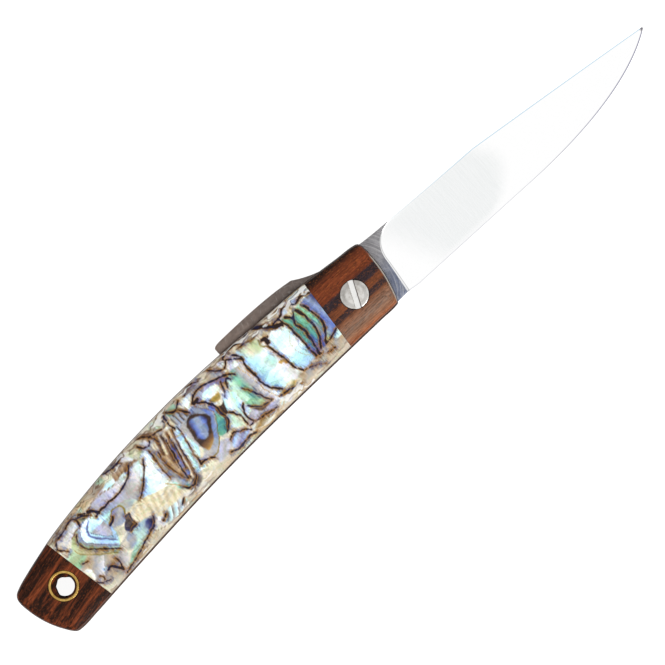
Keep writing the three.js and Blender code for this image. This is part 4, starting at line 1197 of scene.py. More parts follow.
@dataclass(frozen=True)
class ScrewFinish(MetalFinish):
    """The screw's steel: a darker ring on the head, a painted highlight on the slot's floor, and painted
    shade along one of its walls.
    """

    dark_ring: Pair = (2.1, 2.6)
    floor_height: float = 12.55
    # Painted shade along one of the slot's walls: its tone, where it lies across the slot, and how dark it
    # is.
    slot_shade: Triple = (82, 66, 62)
    slot_shade_line: Pair = (-0.62, -0.53)
    soft: float = 0.1
    slot_shade_depth: float = 0.85

    def marks(self, graph: Graph, place: Wire, color: Wire) -> Wire:
        """Darkens a ring on the head, paints shade along one of the slot's walls, and paints a highlight on
        its floor.
        """
        x, y, _ = place.axes()
        radius = graph.length(x, y)
        inner, outer = self.dark_ring
        ringed = radius.remap(inner - 0.3, inner) * radius.remap(outer, outer + self.soft, 1, 0)
        color = color.shade(ringed.remap(0, 1, 1.06, 0.84))
        _, across, z = place.turned(-math.radians(SLOT_ANGLE)).axes()
        # Painted highlight: the slot's floor is brightened.
        floor = z.remap(self.floor_height, self.floor_height + self.soft, 0.85, 0)
        color = graph.mix(floor, color, self.bright)
        # Painted shade: a dark line along one of the slot's walls.
        outer, inner = self.slot_shade_line
        line = across.remap(outer - self.soft, outer) * across.remap(inner, inner + self.soft, 1, 0)
        return graph.mix(line * self.slot_shade_depth, color, self.slot_shade)


@dataclass(frozen=True)
class ShellFinish(Finish):
    """Polished abalone shell: the panel's own tones and seams, with growth lines and changing lustre."""

    glue: Triple = (40, 24, 20)
    cold_glue: Triple = (34, 32, 62)
    fringe: Triple = (166, 116, 58)
    warm_shade: Triple = (176, 138, 108)
    cool_shade: Triple = (126, 138, 190)
    crack: Triple = (104, 72, 50)
    # The white of the sparkle: partly white nacre bits, partly painted glints.
    spark: Triple = (252, 252, 248)
    lustre: Stops = (
        (0.3, (172, 198, 250)), (0.42, (214, 240, 255)), (0.5, (255, 255, 255)), (0.58, (206, 250, 226)),
        (0.7, (255, 228, 220)),
    )
    chip_tones: Stops = (
        (0.0, (140, 102, 72)), (0.16, (192, 152, 112)), (0.36, (216, 186, 152)), (0.5, (240, 226, 204)),
        (0.6, (250, 250, 246)), (0.7, (166, 204, 194)), (0.76, (150, 152, 180)), (0.84, (190, 156, 118)),
        (1.0, (224, 204, 178)),
    )
    lustre_share: float = 0.45
    seam_reach: Pair = (-0.03, 0.13)
    fringe_reach: Pair = (0.02, 0.4)
    shade_reach: Pair = (0.05, 1.1)
    bend_scale: float = 0.6
    band_bend: float = 1.5
    band_scale: Triple = (0.12, 0.42, 0.4)
    band_count: float = 7.0
    piece_scale: Triple = (0.2, 0.46, 0.0)
    growth_scale: Triple = (0.5, 0.28, 0.3)
    growth_count: float = 11.0
    crack_width: float = 0.14
    relief: float = 0.012

    def bands(self, graph: Graph, place: Wire) -> tuple[Wire, Wire]:
        """Breaks the shell into pieces of wavy growth bands that run along the handle.

        Args:
            graph: The material's graph.
            place: The place in millimetres.

        Returns:
            A number of its own for each band, and how far inside it a point lies, from 0 at its rim to 0.5.
        """
        inputs = {"Vector": place, "Scale": self.bend_scale, "Detail": 1, "Roughness": 0.5}
        bent = place.vector("ADD", graph.outputs("TexNoise", inputs)["Color"].scaled(self.band_bend))
        flat = bent.vector("MULTIPLY", self.piece_scale)
        piece = graph.outputs("TexVoronoi", {"Vector": flat, "Scale": 1}, voronoi_dimensions="2D")["Color"]
        rise = bent.noise(self.band_scale, 1, 0.4, 0.3) * self.band_count
        level = rise + piece.axes()[0] * self.band_count
        number = graph.math("FLOOR", level)
        own = graph.outputs("TexWhiteNoise", {"W": number}, noise_dimensions="1D")["Value"]
        return own, 0.5 - abs(graph.math("FRACT", level) - 0.5)

    def look(self, graph: Graph, shared: Tree | None) -> Look:
        """Lays lustre, chips, growth lines, shading near the seams, painted shade on the slot-side flank,
        cracks, seams and sparkle, partly painted glints, over the panel's tones.
        """
        place = graph.place()
        tone = graph.attribute("shell_tone", "Color")
        gap, edge, back = (graph.attribute(name) for name in ("shell_seam", "rim_gap", "row_share"))
        cloud = place.noise((0.55, 0.9, 0.9), 5, 0.6, 0.4)
        silk = place.noise((2.4, 0.5, 0.6), 5, 0.72, 0.8)
        patchy = place.noise((0.34, 0.34, 0.34), 4, 0.6, 0.3)
        chip, rim = self.bands(graph, place)
        color = graph.mix(self.lustre_share, tone, graph.ramp(cloud, self.lustre), "MULTIPLY")
        color = graph.add("HueSaturation", {"Saturation": 0.98, "Value": 1.3, "Color": color})
        color = color.shade(silk.remap(0.3, 0.7, 0.86, 1.13))
        color = color.shade(chip.remap(0, 1, 0.86, 1.16))
        color = graph.mix(edge.remap(2.0, 4.1, 0.36, 0), color, graph.ramp(chip, self.chip_tones))
        growth = graph.math("FRACT", place.noise(self.growth_scale, 3, 0.5, 0.5) * self.growth_count)
        thin = abs(growth - 0.5).remap(0.0, 0.07, 1, 0) * cloud.remap(0.42, 0.6, 0.05, 0.5)
        color = graph.mix(thin, color, self.fringe)
        shade_tone = graph.mix(cloud.remap(0.44, 0.56), self.cool_shade, self.warm_shade)
        ragged = gap + silk.remap(0.25, 0.75, -0.5, 0.5)
        depth = ragged.remap(*self.shade_reach, 1, 0) * patchy.remap(0.35, 0.6, 0.25, 0.95)
        color = graph.mix(depth, color, graph.mix(1.0, color, shade_tone, "MULTIPLY"))
        # Painted shade: darker on the slot side's flank, towards the outline.
        color = color.shade(back.remap(0.08, 0.3, 0.84, 1))
        crowd = edge.remap(2.2, 4.1, 0.8, 0).most(patchy.remap(0.56, 0.68, 0, 0.35))
        crowd = crowd * back.remap(0.3, 0.6, 0.4, 1) * edge.remap(0.4, 2.0, 0.3, 1)
        width = silk.remap(0.3, 0.7, 0.3, 1.6) * self.crack_width
        cracks = (rim / width - crowd.remap(0, 1, 0, 1)).remap(-0.5, 0.6, 1, 0) * crowd
        near = gap + silk.remap(0.3, 0.7, -0.09, 0.09)
        fringe = near.remap(*self.fringe_reach, 1, 0) * cloud.remap(0.35, 0.6, 0.3, 0.9)
        color = graph.mix(fringe, color, self.fringe)
        color = graph.mix(cracks, color, self.crack)
        seam = near.remap(*self.seam_reach, 1, 0)
        dark = graph.mix(cloud.remap(0.5, 0.42), self.glue, self.cold_glue)
        color = graph.mix(seam, color, dark)
        # Sparkle: white spots near the rim, partly white nacre bits and partly painted glints where nacre
        # facets catch the light.
        sparkle = chip.remap(0.86, 0.9) * rim.remap(0.1, 0.3, 0, 0.8) * edge.remap(2.2, 4.4, 1, 0.05)
        color = graph.mix(sparkle, color, self.spark)
        return color, seam.remap(0, 1, self.roughness, 0.3), (silk * 0.3 - seam * 0.5).bump(self.relief)


DARK_WOOD = WoodFinish(
    "dark_hardwood", roughness=0.65, specular=0.05, flecks=0.15, contrast=0.3, waver=1.0, spread=3.0,
    stripes=(
        (-10, (84, 64, 54)), (-6, (62, 46, 40)), (0, (50, 36, 30)), (6, (60, 42, 34)), (12, (74, 54, 44)),
    ),
)
# Besides the wood's own dark streaks, its stripes paint light: a lit orange-brown band and a grey sheen along
# the slot-side edge, and shade along the back edge. Its pale front-edge tone is a painted highlight.
FRONT_WOOD = WoodFinish(
    "red_hardwood", roughness=0.32, specular=0.12, tilt=2.0, waver=1.0, spread=1.1, contrast=0.32,
    front_edge_highlight=(204, 200, 188),
    stripes=(
        (-8.0, (112, 60, 34)), (-7.0, (152, 86, 50)), (-6.2, (150, 104, 76)), (-5.0, (134, 108, 92)),
        (-3.4, (138, 98, 76)), (-2.6, (120, 74, 50)), (-2.2, (62, 46, 46)), (-1.4, (60, 42, 42)),
        (-1.0, (120, 68, 42)), (0.2, (112, 62, 38)), (0.6, (48, 36, 40)), (2.3, (44, 36, 42)),
        (2.8, (104, 48, 26)), (4.4, (124, 60, 32)), (6.2, (106, 50, 27)), (7.0, (44, 25, 18)),
        (8.8, (28, 17, 13)),
    ),
)
BUTT_WOOD = StreakFinish(
    "butt_hardwood", roughness=0.34, specular=0.08, tilt=-12.0, spread=0.4, flecks=0.45, contrast=0.3,
    fleck_tone=(162, 84, 40),
    stripes=(
        (0, (30, 16, 11)), (0.4, (36, 20, 14)), (0.47, (58, 29, 18)), (0.54, (92, 44, 24)),
        (0.64, (124, 60, 33)), (1, (128, 62, 34)),
    ),
)
TANG_STEEL = TangFinish("blade_steel_rubbed", roughness=0.4)
GROUND_STEEL = GroundFinish("blade_steel_polished", roughness=0.1)
# Its bright tone also paints the highlight on the slot's floor.
SCREW_STEEL = ScrewFinish(
    "screw_steel", roughness=0.34, tone=(214, 212, 208), dull=(176, 171, 164), bright=(246, 246, 244)
)
NUT_STEEL = MetalFinish("nut_steel", roughness=0.36, tone=(206, 204, 200), dull=(170, 166, 160))
PIN_STEEL = MetalFinish("pin_steel", roughness=0.38, tone=(178, 180, 184), dull=(150, 150, 152))
WASHER_BRONZE = MetalFinish("washer_bronze", roughness=0.4, tone=(206, 168, 106), dull=(160, 122, 70))
EYELET_BRASS = MetalFinish(
    "eyelet_brass", roughness=0.24, tone=(206, 170, 96), dull=(158, 122, 58), ring_pitch=12.0,
    centre=(-83.85, -1.15), bright=(246, 222, 160),
)
SHELL = ShellFinish("abalone_shell", roughness=0.16, specular=0.18)


@dataclass(frozen=True)
class CoverSection:
    """The section of a scale's cover, from the base layer up to the flat land."""

    low: float
    land: float
    flank_lean: float = 0.1
    edge_radius: float = 1.0
    crown_angle: float = 20.0
    land_inset: float = 4.1
    edge_steps: int = 12
    crown_steps: int = 12

    def steps(self) -> list[Pair]:
        """Gives the section as pairs of inset and height."""
        end = math.radians(90 - self.crown_angle)
        crown_start = self.flank_lean + self.edge_radius * (1 - math.cos(end))
        crown_width = self.land_inset - crown_start
        crown_drop = math.tan(math.radians(self.crown_angle)) * crown_width / 2
        arc_base = self.land - crown_drop - self.edge_radius * math.sin(end)
        places = [(0.0, self.low)]
        for turn in (end * k / self.edge_steps for k in range(self.edge_steps + 1)):
            inset = self.flank_lean + self.edge_radius * (1 - math.cos(turn))
            places.append((inset, arc_base + self.edge_radius * math.sin(turn)))
        for share in (k / self.crown_steps for k in range(1, self.crown_steps + 1)):
            places.append((crown_start + share * crown_width, self.land - crown_drop * (1 - share) ** 2))
        return places


@dataclass(frozen=True)
class Joint:
    """A straight joint between two covers, square to the handle's face."""

    slot_edge: Points
    back_edge: Points

    def side_of(self, points: Points) -> Points:
        """Measures how far points lie from the joint, positive towards the blade."""
        way = self.back_edge - self.slot_edge
        offset = points - self.slot_edge
        return (offset[:, 0] * way[1] - offset[:, 1] * way[0]) / np.linalg.norm(way)

    def plane(self, shift: float) -> dict[str, Vector]:
        """Gives the joint's plane, moved towards the blade, in the words of bisect_plane."""
        way = self.back_edge - self.slot_edge
        out = np.array([way[1], -way[0]]) / np.linalg.norm(way)
        place = self.slot_edge + out * shift
        return {"plane_co": Vector((*place, 0)), "plane_no": Vector((*out, 0))}


@dataclass
class Handle:
    """The two scales: base layers, bolsters, shell panels and lanyard eyelets."""

    spacing: float = 0.3
    shell_spacing: float = 0.2
    base_edge: float = 0.12
    glue_line: float = 0.04
    joint_break: float = 0.07
    head_fit: float = 0.09
    rim_flare: float = 0.08
    eyelet_fit: float = 0.05
    eyelet_wall: float = 0.625
    eyelet_break: float = 0.14
    inner_break_factor: float = 1.8
    bore_radius: float = 2.05
    bore_shift: Pair = (0.05, -0.36)
    bore_lobes: tuple[Triple, ...] = ((2, 0.035, 0.4), (3, 0.045, 2.6), (5, 0.03, 1.0), (8, 0.018, 0.0))

    def __post_init__(self) -> None:
        """Reads the outlines and heights that the covers follow."""
        self.base_low, self.base_high = (corner[2] for corner in node_box("base_front"))
        self.land = node_box("shell_panel_front")[1][2]
        self.middle = self.land / 2
        self.section = CoverSection(self.base_high, self.land)
        low, high = node_box("lanyard_eyelet_front")
        self.eyelet_low = low[2]
        self.eyelet_centre = (low + high)[:2] / 2
        self.eyelet_radius = float(high[0] - low[0]) / 2
        inner, *self.holes = node_loops("base_front", self.base_low)
        outer = node_loops("base_front", self.base_high)[0]
        nearest = np.linalg.norm(outer - inner[0], axis=1).argmin()
        steps = even_steps(inner, self.spacing)
        self.inner_ring = smooth_loop(inner, steps)
        self.outer_ring = smooth_loop(np.roll(outer, -nearest, axis=0), steps)
        self.front_joint, self.butt_joint = self.read_joints()

    def read_joints(self) -> tuple[Joint, Joint]:
        """Reads the joints beside the front and butt bolsters from the corners of the shell panel's foot."""
        foot = node_loops("shell_panel_front", self.base_high)[0]
        before, after = foot - np.roll(foot, 1, axis=0), np.roll(foot, -1, axis=0) - foot
        bend = before[:, 0] * after[:, 1] - before[:, 1] * after[:, 0]
        angle = np.abs(np.arctan2(bend, (before * after).sum(axis=1)))
        corners = sorted(foot[np.argsort(-angle)[:4]], key=lambda corner: corner[0])
        joints = [sorted(pair, key=lambda corner: corner[1]) for pair in (corners[2:], corners[:2])]
        return tuple(Joint(slot_edge, back_edge) for slot_edge, back_edge in joints)

    def place_piece(
        self, name: str, node: str, side: Side, mesh: Mesh, finish: Material
    ) -> bpy.types.Object:
        """Makes one side's piece of the handle.

        Args:
            name: The piece's name, without its side.
            node: The CAD node that it stands for, without its side.
            side: Its side.
            mesh: Its mesh as it lies on the front side, which is used up.
            finish: Its material.

        Returns:
            The piece.
        """
        mesh = mesh if side is Side.FRONT else mirrored(mesh, self.middle)
        name, node = (f"{part}_{side.value}" for part in (name, node))
        return finish_piece(name, mesh, BODY_HANDLE, [finish], [node])

    def cover(self, joint: Joint, towards_blade: bool) -> Mesh:
        """Makes a side's cover, cut off at a joint, closed there and with a broken upper edge.

        Args:
            joint: The joint that it is cut at.
            towards_blade: Whether the blade's side of the joint is kept.

        Returns:
            The cover.
        """
        mesh = shell_of([raised(inset_ring(self.outer_ring, inset), z) for inset, z in self.section.steps()])
        made = bmesh.ops.bisect_plane(
            mesh, geom=everything(mesh), dist=WELD, clear_inner=towards_blade, clear_outer=not towards_blade,
            **joint.plane(self.glue_line if towards_blade else -self.glue_line),
        )
        rim = only(bmesh.types.BMEdge, made["geom_cut"])
        bmesh.ops.edgeloop_fill(mesh, edges=rim)
        bmesh.ops.recalc_face_normals(mesh, faces=mesh.faces)
        low = self.base_high + self.joint_break
        upper = [edge for edge in rim if edge.is_valid and max(v.co.z for v in edge.verts) > low]
        break_edges(mesh, upper, self.joint_break)
        return mesh

    def build_base(self, side: Side, finish: Material) -> None:
        """Makes a scale's thin base layer with its holes."""
        rings = [
            raised(inset_ring(self.inner_ring, self.base_edge), self.base_low),
            raised(self.inner_ring, self.base_low + self.base_edge),
            raised(self.outer_ring, self.base_high),
        ]
        mesh = cut(shell_of(rings), *drills(self.holes, self.base_low, self.base_high))
        self.place_piece("base_layer", "base", side, mesh, finish)

    def build_front_bolster(self, side: Side, finish: Material) -> None:
        """Makes the bolster round the pivot, with the seat of the pivot's head."""
        radius = node_box("pivot_screw")[1][0] + self.head_fit
        seat = node_box("pivot_nut")[1][2]
        barrel = min(self.holes, key=lambda hole: np.linalg.norm(hole.mean(axis=0)))
        top = self.land + self.rim_flare
        pocket = turned([
            (0, seat), (radius, seat), (radius, self.land - self.rim_flare),
            (radius + 2 * self.rim_flare, top), (0, top),
        ])
        bore = drill((0, 0), float(np.linalg.norm(barrel, axis=1).max()), self.base_low, self.land)
        mesh = cut(self.cover(self.front_joint, towards_blade=True), pocket, bore)
        self.place_piece("bolster", "front_bolster", side, mesh, finish)

    def build_butt(self, side: Side, finish: Material) -> None:
        """Makes the butt bolster, with a hand-cut lanyard bore and the eyelet's seat."""
        radius = self.eyelet_radius + self.eyelet_fit
        seat = drill(self.eyelet_centre, radius, self.eyelet_low, self.land + OVERCUT)
        mesh = cut(self.cover(self.butt_joint, towards_blade=False), seat, self.bore())
        self.place_piece("butt", "butt_bolster", side, mesh, finish)

    def bore(self) -> Mesh:
        """Makes the slightly uneven body that cuts the lanyard bore through the wood.

        Each of its bore_lobes gives a count, a depth for the radius and where the lobes start, in radians.
        """
        centre = self.eyelet_centre + self.bore_shift
        mesh = drill(centre, self.bore_radius, self.base_low - OVERCUT, self.land + OVERCUT)
        for vert in mesh.verts:
            out = Vector((*(vert.co.xy - Vector(self.eyelet_centre)), 0))
            turn = math.atan2(out.y, out.x)
            waves = (depth * math.sin(count * turn + start) for count, depth, start in self.bore_lobes)
            vert.co += out * sum(waves)
        return mesh

    def build_eyelet(self, side: Side, finish: Material) -> None:
        """Makes the ring that lines the lanyard hole's mouth."""
        outer = self.eyelet_radius
        inner = outer - self.eyelet_wall
        edge, top = self.eyelet_break, self.land
        wide = edge * self.inner_break_factor
        turns = [math.radians(angle) for angle in (0, 22.5, 45, 67.5, 90)]
        profile = [(inner, self.eyelet_low), (outer, self.eyelet_low)]
        profile += [(outer - edge * (1 - math.cos(a)), top - edge * (1 - math.sin(a))) for a in turns]
        profile += [(inner + wide * (1 - math.sin(a)), top - wide * (1 - math.cos(a))) for a in turns]
        ring = turned(profile, self.eyelet_centre)
        self.place_piece("eyelet", "lanyard_eyelet", side, ring, finish)

    def crossing(self, ring: Points, joint: Joint, upper: bool) -> tuple[float, Points]:
        """Finds where a ring crosses a joint, on the back edge or else on the slot edge.

        Args:
            ring: The ring, anticlockwise.
            joint: The joint that it crosses.
            upper: Whether to take the crossing on the back edge.

        Returns:
            The place along the ring, in points, and the crossing itself.
        """
        gap = joint.side_of(ring)
        after = np.roll(gap, -1)
        found = np.flatnonzero(gap * after <= 0)
        middle = joint.slot_edge[1] / 2 + joint.back_edge[1] / 2
        i = next(i for i in found if (ring[i, 1] > middle) == upper)
        share = gap[i] / (gap[i] - after[i])
        return i + share, ring[i] + share * (ring[(i + 1) % len(ring)] - ring[i])

    def panel_side(self, ring: Points, upper: bool, shares: Points) -> Points:
        """Gives points along one edge of the shell panel, run from the butt to the blade.

        Args:
            ring: The outline, or a ring inside it.
            upper: Whether to take the back edge.
            shares: The places of the points, from 0 at the butt joint to 1 at the front joint.

        Returns:
            The points.
        """
        ends = [self.crossing(ring, joint, upper) for joint in (self.butt_joint, self.front_joint)]
        first, last = ends[::-1] if upper else ends
        stop = math.floor(last[0] + (len(ring) if last[0] < first[0] else 0))
        places = np.arange(math.ceil(first[0]), stop + 1)
        run = np.vstack([first[1], ring[places % len(ring)], last[1]])
        return along(run[::-1] if upper else run, shares)

    def build_shell(self, side: Side, finish: Material) -> bpy.types.Object:
        """Makes the shell panel as one fine grid bent over the section, closed by its ends and foot."""
        length = np.linalg.norm(self.front_joint.back_edge - self.butt_joint.back_edge)
        shares = np.linspace(0, 1, round(length / self.shell_spacing))
        slot_rows, back_rows = [], []
        for inset, height in self.section.steps():
            ring = inset_ring(self.outer_ring, inset)
            slot_rows.append(raised(self.panel_side(ring, False, shares), height))
            back_rows.append(raised(self.panel_side(ring, True, shares), height))
        land = back_rows[-1] - slot_rows[-1]
        count = round(np.linalg.norm(land, axis=1).max() / self.shell_spacing)
        between = [slot_rows[-1] + land * k / count for k in range(1, count)]
        mesh = bmesh.new()
        laid = grid(mesh, np.array([*slot_rows, *between, *back_rows[::-1]]))
        ends = []
        for column in (0, -1):
            foot = bmesh.ops.contextual_create(mesh, geom=[laid[0][column], laid[-1][column]])["edges"]
            verts = [row[column] for row in laid]
            ends.append([mesh.edges.get(pair) for pair in zip(verts, verts[1:])])
            bmesh.ops.edgeloop_fill(mesh, edges=[*ends[-1], *foot])
        bmesh.ops.edgeloop_fill(mesh, edges=[edge for edge in mesh.edges if edge.is_boundary])
        bmesh.ops.recalc_face_normals(mesh, faces=mesh.faces)
        for rim in ends:
            break_edges(mesh, rim[1:-1], self.joint_break)
        return self.place_piece("shell", "shell_panel", side, mesh, finish)


def grid(mesh: Mesh, rows: Points) -> list[list[bmesh.types.BMVert]]:
    """Lays a grid of faces through rows of points.

    Each vertex's distance in millimetres from the nearer of the first and last rows becomes its rim_gap, and
    its place among the rows, from 0 to 1, its row_share.

    Args:
        mesh: The mesh that it is made in.
        rows: The points, as an array of rows, columns and x, y, z.

    Returns:
        The grid's vertices, row by row.
    """
    rim_gap, row_share = (mesh.verts.layers.float.new(name) for name in ("rim_gap", "row_share"))
    across, down = rows.shape[1] - 1, rows.shape[0] - 1
    made = bmesh.ops.create_grid(mesh, x_segments=across, y_segments=down, size=1)["verts"]
    ordered = sorted(made, key=lambda v: (round((v.co.y + 1) * down / 2), v.co.x))
    laid = [ordered[k * (across + 1):(k + 1) * (across + 1)] for k in range(down + 1)]
    for row, (verts, places) in enumerate(zip(laid, rows)):
        gaps = np.minimum(*(np.linalg.norm(places - rim, axis=1) for rim in (rows[0], rows[-1])))
        for vert, place, gap in zip(verts, places, gaps):
            vert.co = place
            vert[rim_gap] = gap
            vert[row_share] = row / down
    return laid


@dataclass
class Blade:
    """The blade, ground from full thickness at the plunge line, with its tang and thumb lever."""

    heel: Pair = (8.15, -7.2)
    edge_start: Pair = (11.0, -7.67)
    belly_start: Pair = (40.0, -8.7)
    belly_pull: tuple[Pair, Pair] = ((54.0, -9.4), (70.5, -8.4))
    spine_sag: Pair = (16.0, 5.75)
    spine_start: Pair = (8.2, 6.6)
    spine_bend: Pair = (38.0, 4.53)
    spine_drop_sag: Pair = (62.0, 1.0)
    spine_gap: float = 0.05
    tip: Pair = (80.15, -2.06)
    tip_flat: float = 0.3
    edge_bevel: float = 0.6
    edge_bevel_share: float = 0.4
    edge_bevel_half: float = 0.2
    edge_bevel_half_share: float = 0.8
    edge_half: float = 0.03
    tip_half: float = 0.16
    taper_power: float = 1.6
    swedge: float = 0.45
    swedge_least: float = 0.02
    swedge_share: float = 0.3
    swedge_thinning: float = 0.06
    plunge_width: Pair = (0.25, 0.45)
    plunge_power: float = 2.2
    plunge_steps: int = 200
    drift_reach: float = 25.0
    corner_break: float = 0.12
    tang_spacing: float = 0.35
    rows_between: int = 34
    fine_reach: float = 3.0
    fine_columns: int = 30
    columns: int = 130

    def __post_init__(self) -> None:
        """Reads the blade's heights, and its tang's outline, from the frame."""
        low, high = node_box("blade")
        self.top = high[2]
        self.middle = (low[2] + high[2]) / 2
        self.half = self.top - self.middle
        outline, hole = node_loops("blade", self.top)
        self.hole_radius = float(np.linalg.norm(hole, axis=1).max())
        heel = np.linalg.norm(outline - self.heel, axis=1).argmin()
        self.outline = np.roll(outline, -heel, axis=0)
        self.plunge_end = int(self.outline[:, 0].argmax())

    def rails(self) -> tuple[Points, Points]:
        """Gives the lines of the edge and of the spine, from the plunge line to the tip."""
        x, y = self.tip
        belly = bezier([self.belly_start, *self.belly_pull, (x, y - self.tip_flat / 2)])
        spine = np.vstack([
            bezier([self.spine_start, self.spine_sag, self.spine_bend]),
            bezier([self.spine_bend, self.spine_drop_sag, (x, y + self.tip_flat / 2)])[1:],
        ])
        top = self.outline[self.plunge_end]
        edge = np.vstack([[self.heel], [self.edge_start], belly])
        return edge, np.vstack([top, spine[spine[:, 0] > top[0] + self.spine_gap]])

    def ground_rows(self) -> Points:
        """Works out the ground face as rows of points from the edge to the spine."""
        edge_rail, spine_rail = self.rails()
        reach = np.linalg.norm(np.diff(edge_rail, axis=0), axis=1).sum()
        fine = np.linspace(0, self.fine_reach, self.fine_columns + 1)[:-1]
        shares = np.concatenate([fine, np.linspace(self.fine_reach, reach, self.columns)]) / reach
        edge, spine = along(edge_rail, shares), along(spine_rail, shares)
        height = np.linalg.norm(spine - edge, axis=1)
        past_bend = np.clip((spine[:, 0] - self.spine_bend[0]) / (self.tip[0] - self.spine_bend[0]), 0, 1)
        spine_half = self.half + (self.tip_half - self.half) * shares**self.taper_power
        bevel_half = np.minimum(self.edge_bevel_half, spine_half * self.edge_bevel_half_share)
        bevel = np.minimum(self.edge_bevel, height * self.edge_bevel_share)
        swedge = np.minimum(self.swedge * np.sqrt(past_bend) + self.swedge_least, height * self.swedge_share)
        plunge = along(smooth_open(self.outline[: self.plunge_end + 1]), np.linspace(0, 1, self.plunge_steps))
        inner = np.linspace(0, 1, self.rows_between + 1)
        between = [bevel + (height - swedge - bevel) * share for share in inner]
        rows = []
        for rise in (np.zeros_like(height), *between, height):
            share = rise / height
            line = edge + (spine - edge) * share[:, None]
            low_half = self.edge_half + (bevel_half - self.edge_half) * rise / bevel
            face_half = bevel_half + (spine_half - bevel_half) * (rise - bevel) / (height - swedge - bevel)
            over = np.clip((rise - (height - swedge)) / swedge, 0, 1)
            high_half = spine_half * (1 - self.swedge_thinning * np.sqrt(past_bend) * over)
            half = np.where(rise > height - swedge, high_half, np.where(rise <= bevel, low_half, face_half))
            start = along(plunge, share[:1])[0]
            fading = np.clip(1 - shares * reach / self.drift_reach, 0, 1)[:, None] ** 2
            line = line + (start - line[0]) * fading
            away = np.linalg.norm(line - line[0], axis=1)
            drop = self.half - half
            width = self.plunge_width[0] + self.plunge_width[1] * drop[0] / self.half
            half = half + drop * np.clip(1 - away / width, 0, 1) ** self.plunge_power
            rows.append(np.column_stack([line, self.middle + half]))
        return np.array(rows)

    def build(self, tang: Material, ground: Material) -> None:
        """Makes the blade in one piece.

        Args:
            tang: The finish of the ricasso, tang and lever.
            ground: The finish of the ground faces.
        """
        mesh = bmesh.new()
        laid = grid(mesh, self.ground_rows())
        for face in mesh.faces:
            face.material_index = 1
        plunge = [row[0] for row in laid]
        around = smooth_open(np.vstack([self.outline[self.plunge_end:], self.outline[:1]]), self.tang_spacing)
        tang_line = draw(mesh, raised(around[1:-1], self.top))
        bmesh.ops.contextual_create(mesh, geom=[plunge[-1], tang_line[0]])
        bmesh.ops.contextual_create(mesh, geom=[tang_line[-1], plunge[0]])
        circle = bmesh.ops.create_circle(
            mesh, radius=self.hole_radius, segments=ROUND_STEPS, matrix=Matrix.Translation((0, 0, self.top))
        )["verts"]
        wires = [edge for edge in mesh.edges if edge.is_wire]
        line = [mesh.edges.get(pair) for pair in zip(plunge, plunge[1:])]
        rim = [edge for edge in wires if edge.verts[0] not in circle]
        bmesh.ops.triangle_fill(mesh, use_beauty=True, edges=[*wires, *line], normal=(0, 0, 1))
        open_edges = [edge for edge in mesh.edges if edge.is_boundary]
        walls = bmesh.ops.extrude_edge_only(mesh, edges=open_edges)["geom"]
        for vert in only(bmesh.types.BMVert, walls):
            vert.co.z = self.middle
        bmesh.ops.recalc_face_normals(mesh, faces=mesh.faces)
        break_edges(mesh, [edge for edge in rim if edge.is_valid], self.corner_break)
        twin = only(bmesh.types.BMVert, bmesh.ops.duplicate(mesh, geom=everything(mesh))["geom"])
        bmesh.ops.scale(mesh, vec=(1, 1, -1), space=Matrix.Translation((0, 0, -self.middle)), verts=twin)
        finish_piece("knife_blade", tidy(mesh), BODY_BLADE, [tang, ground], ["blade"])


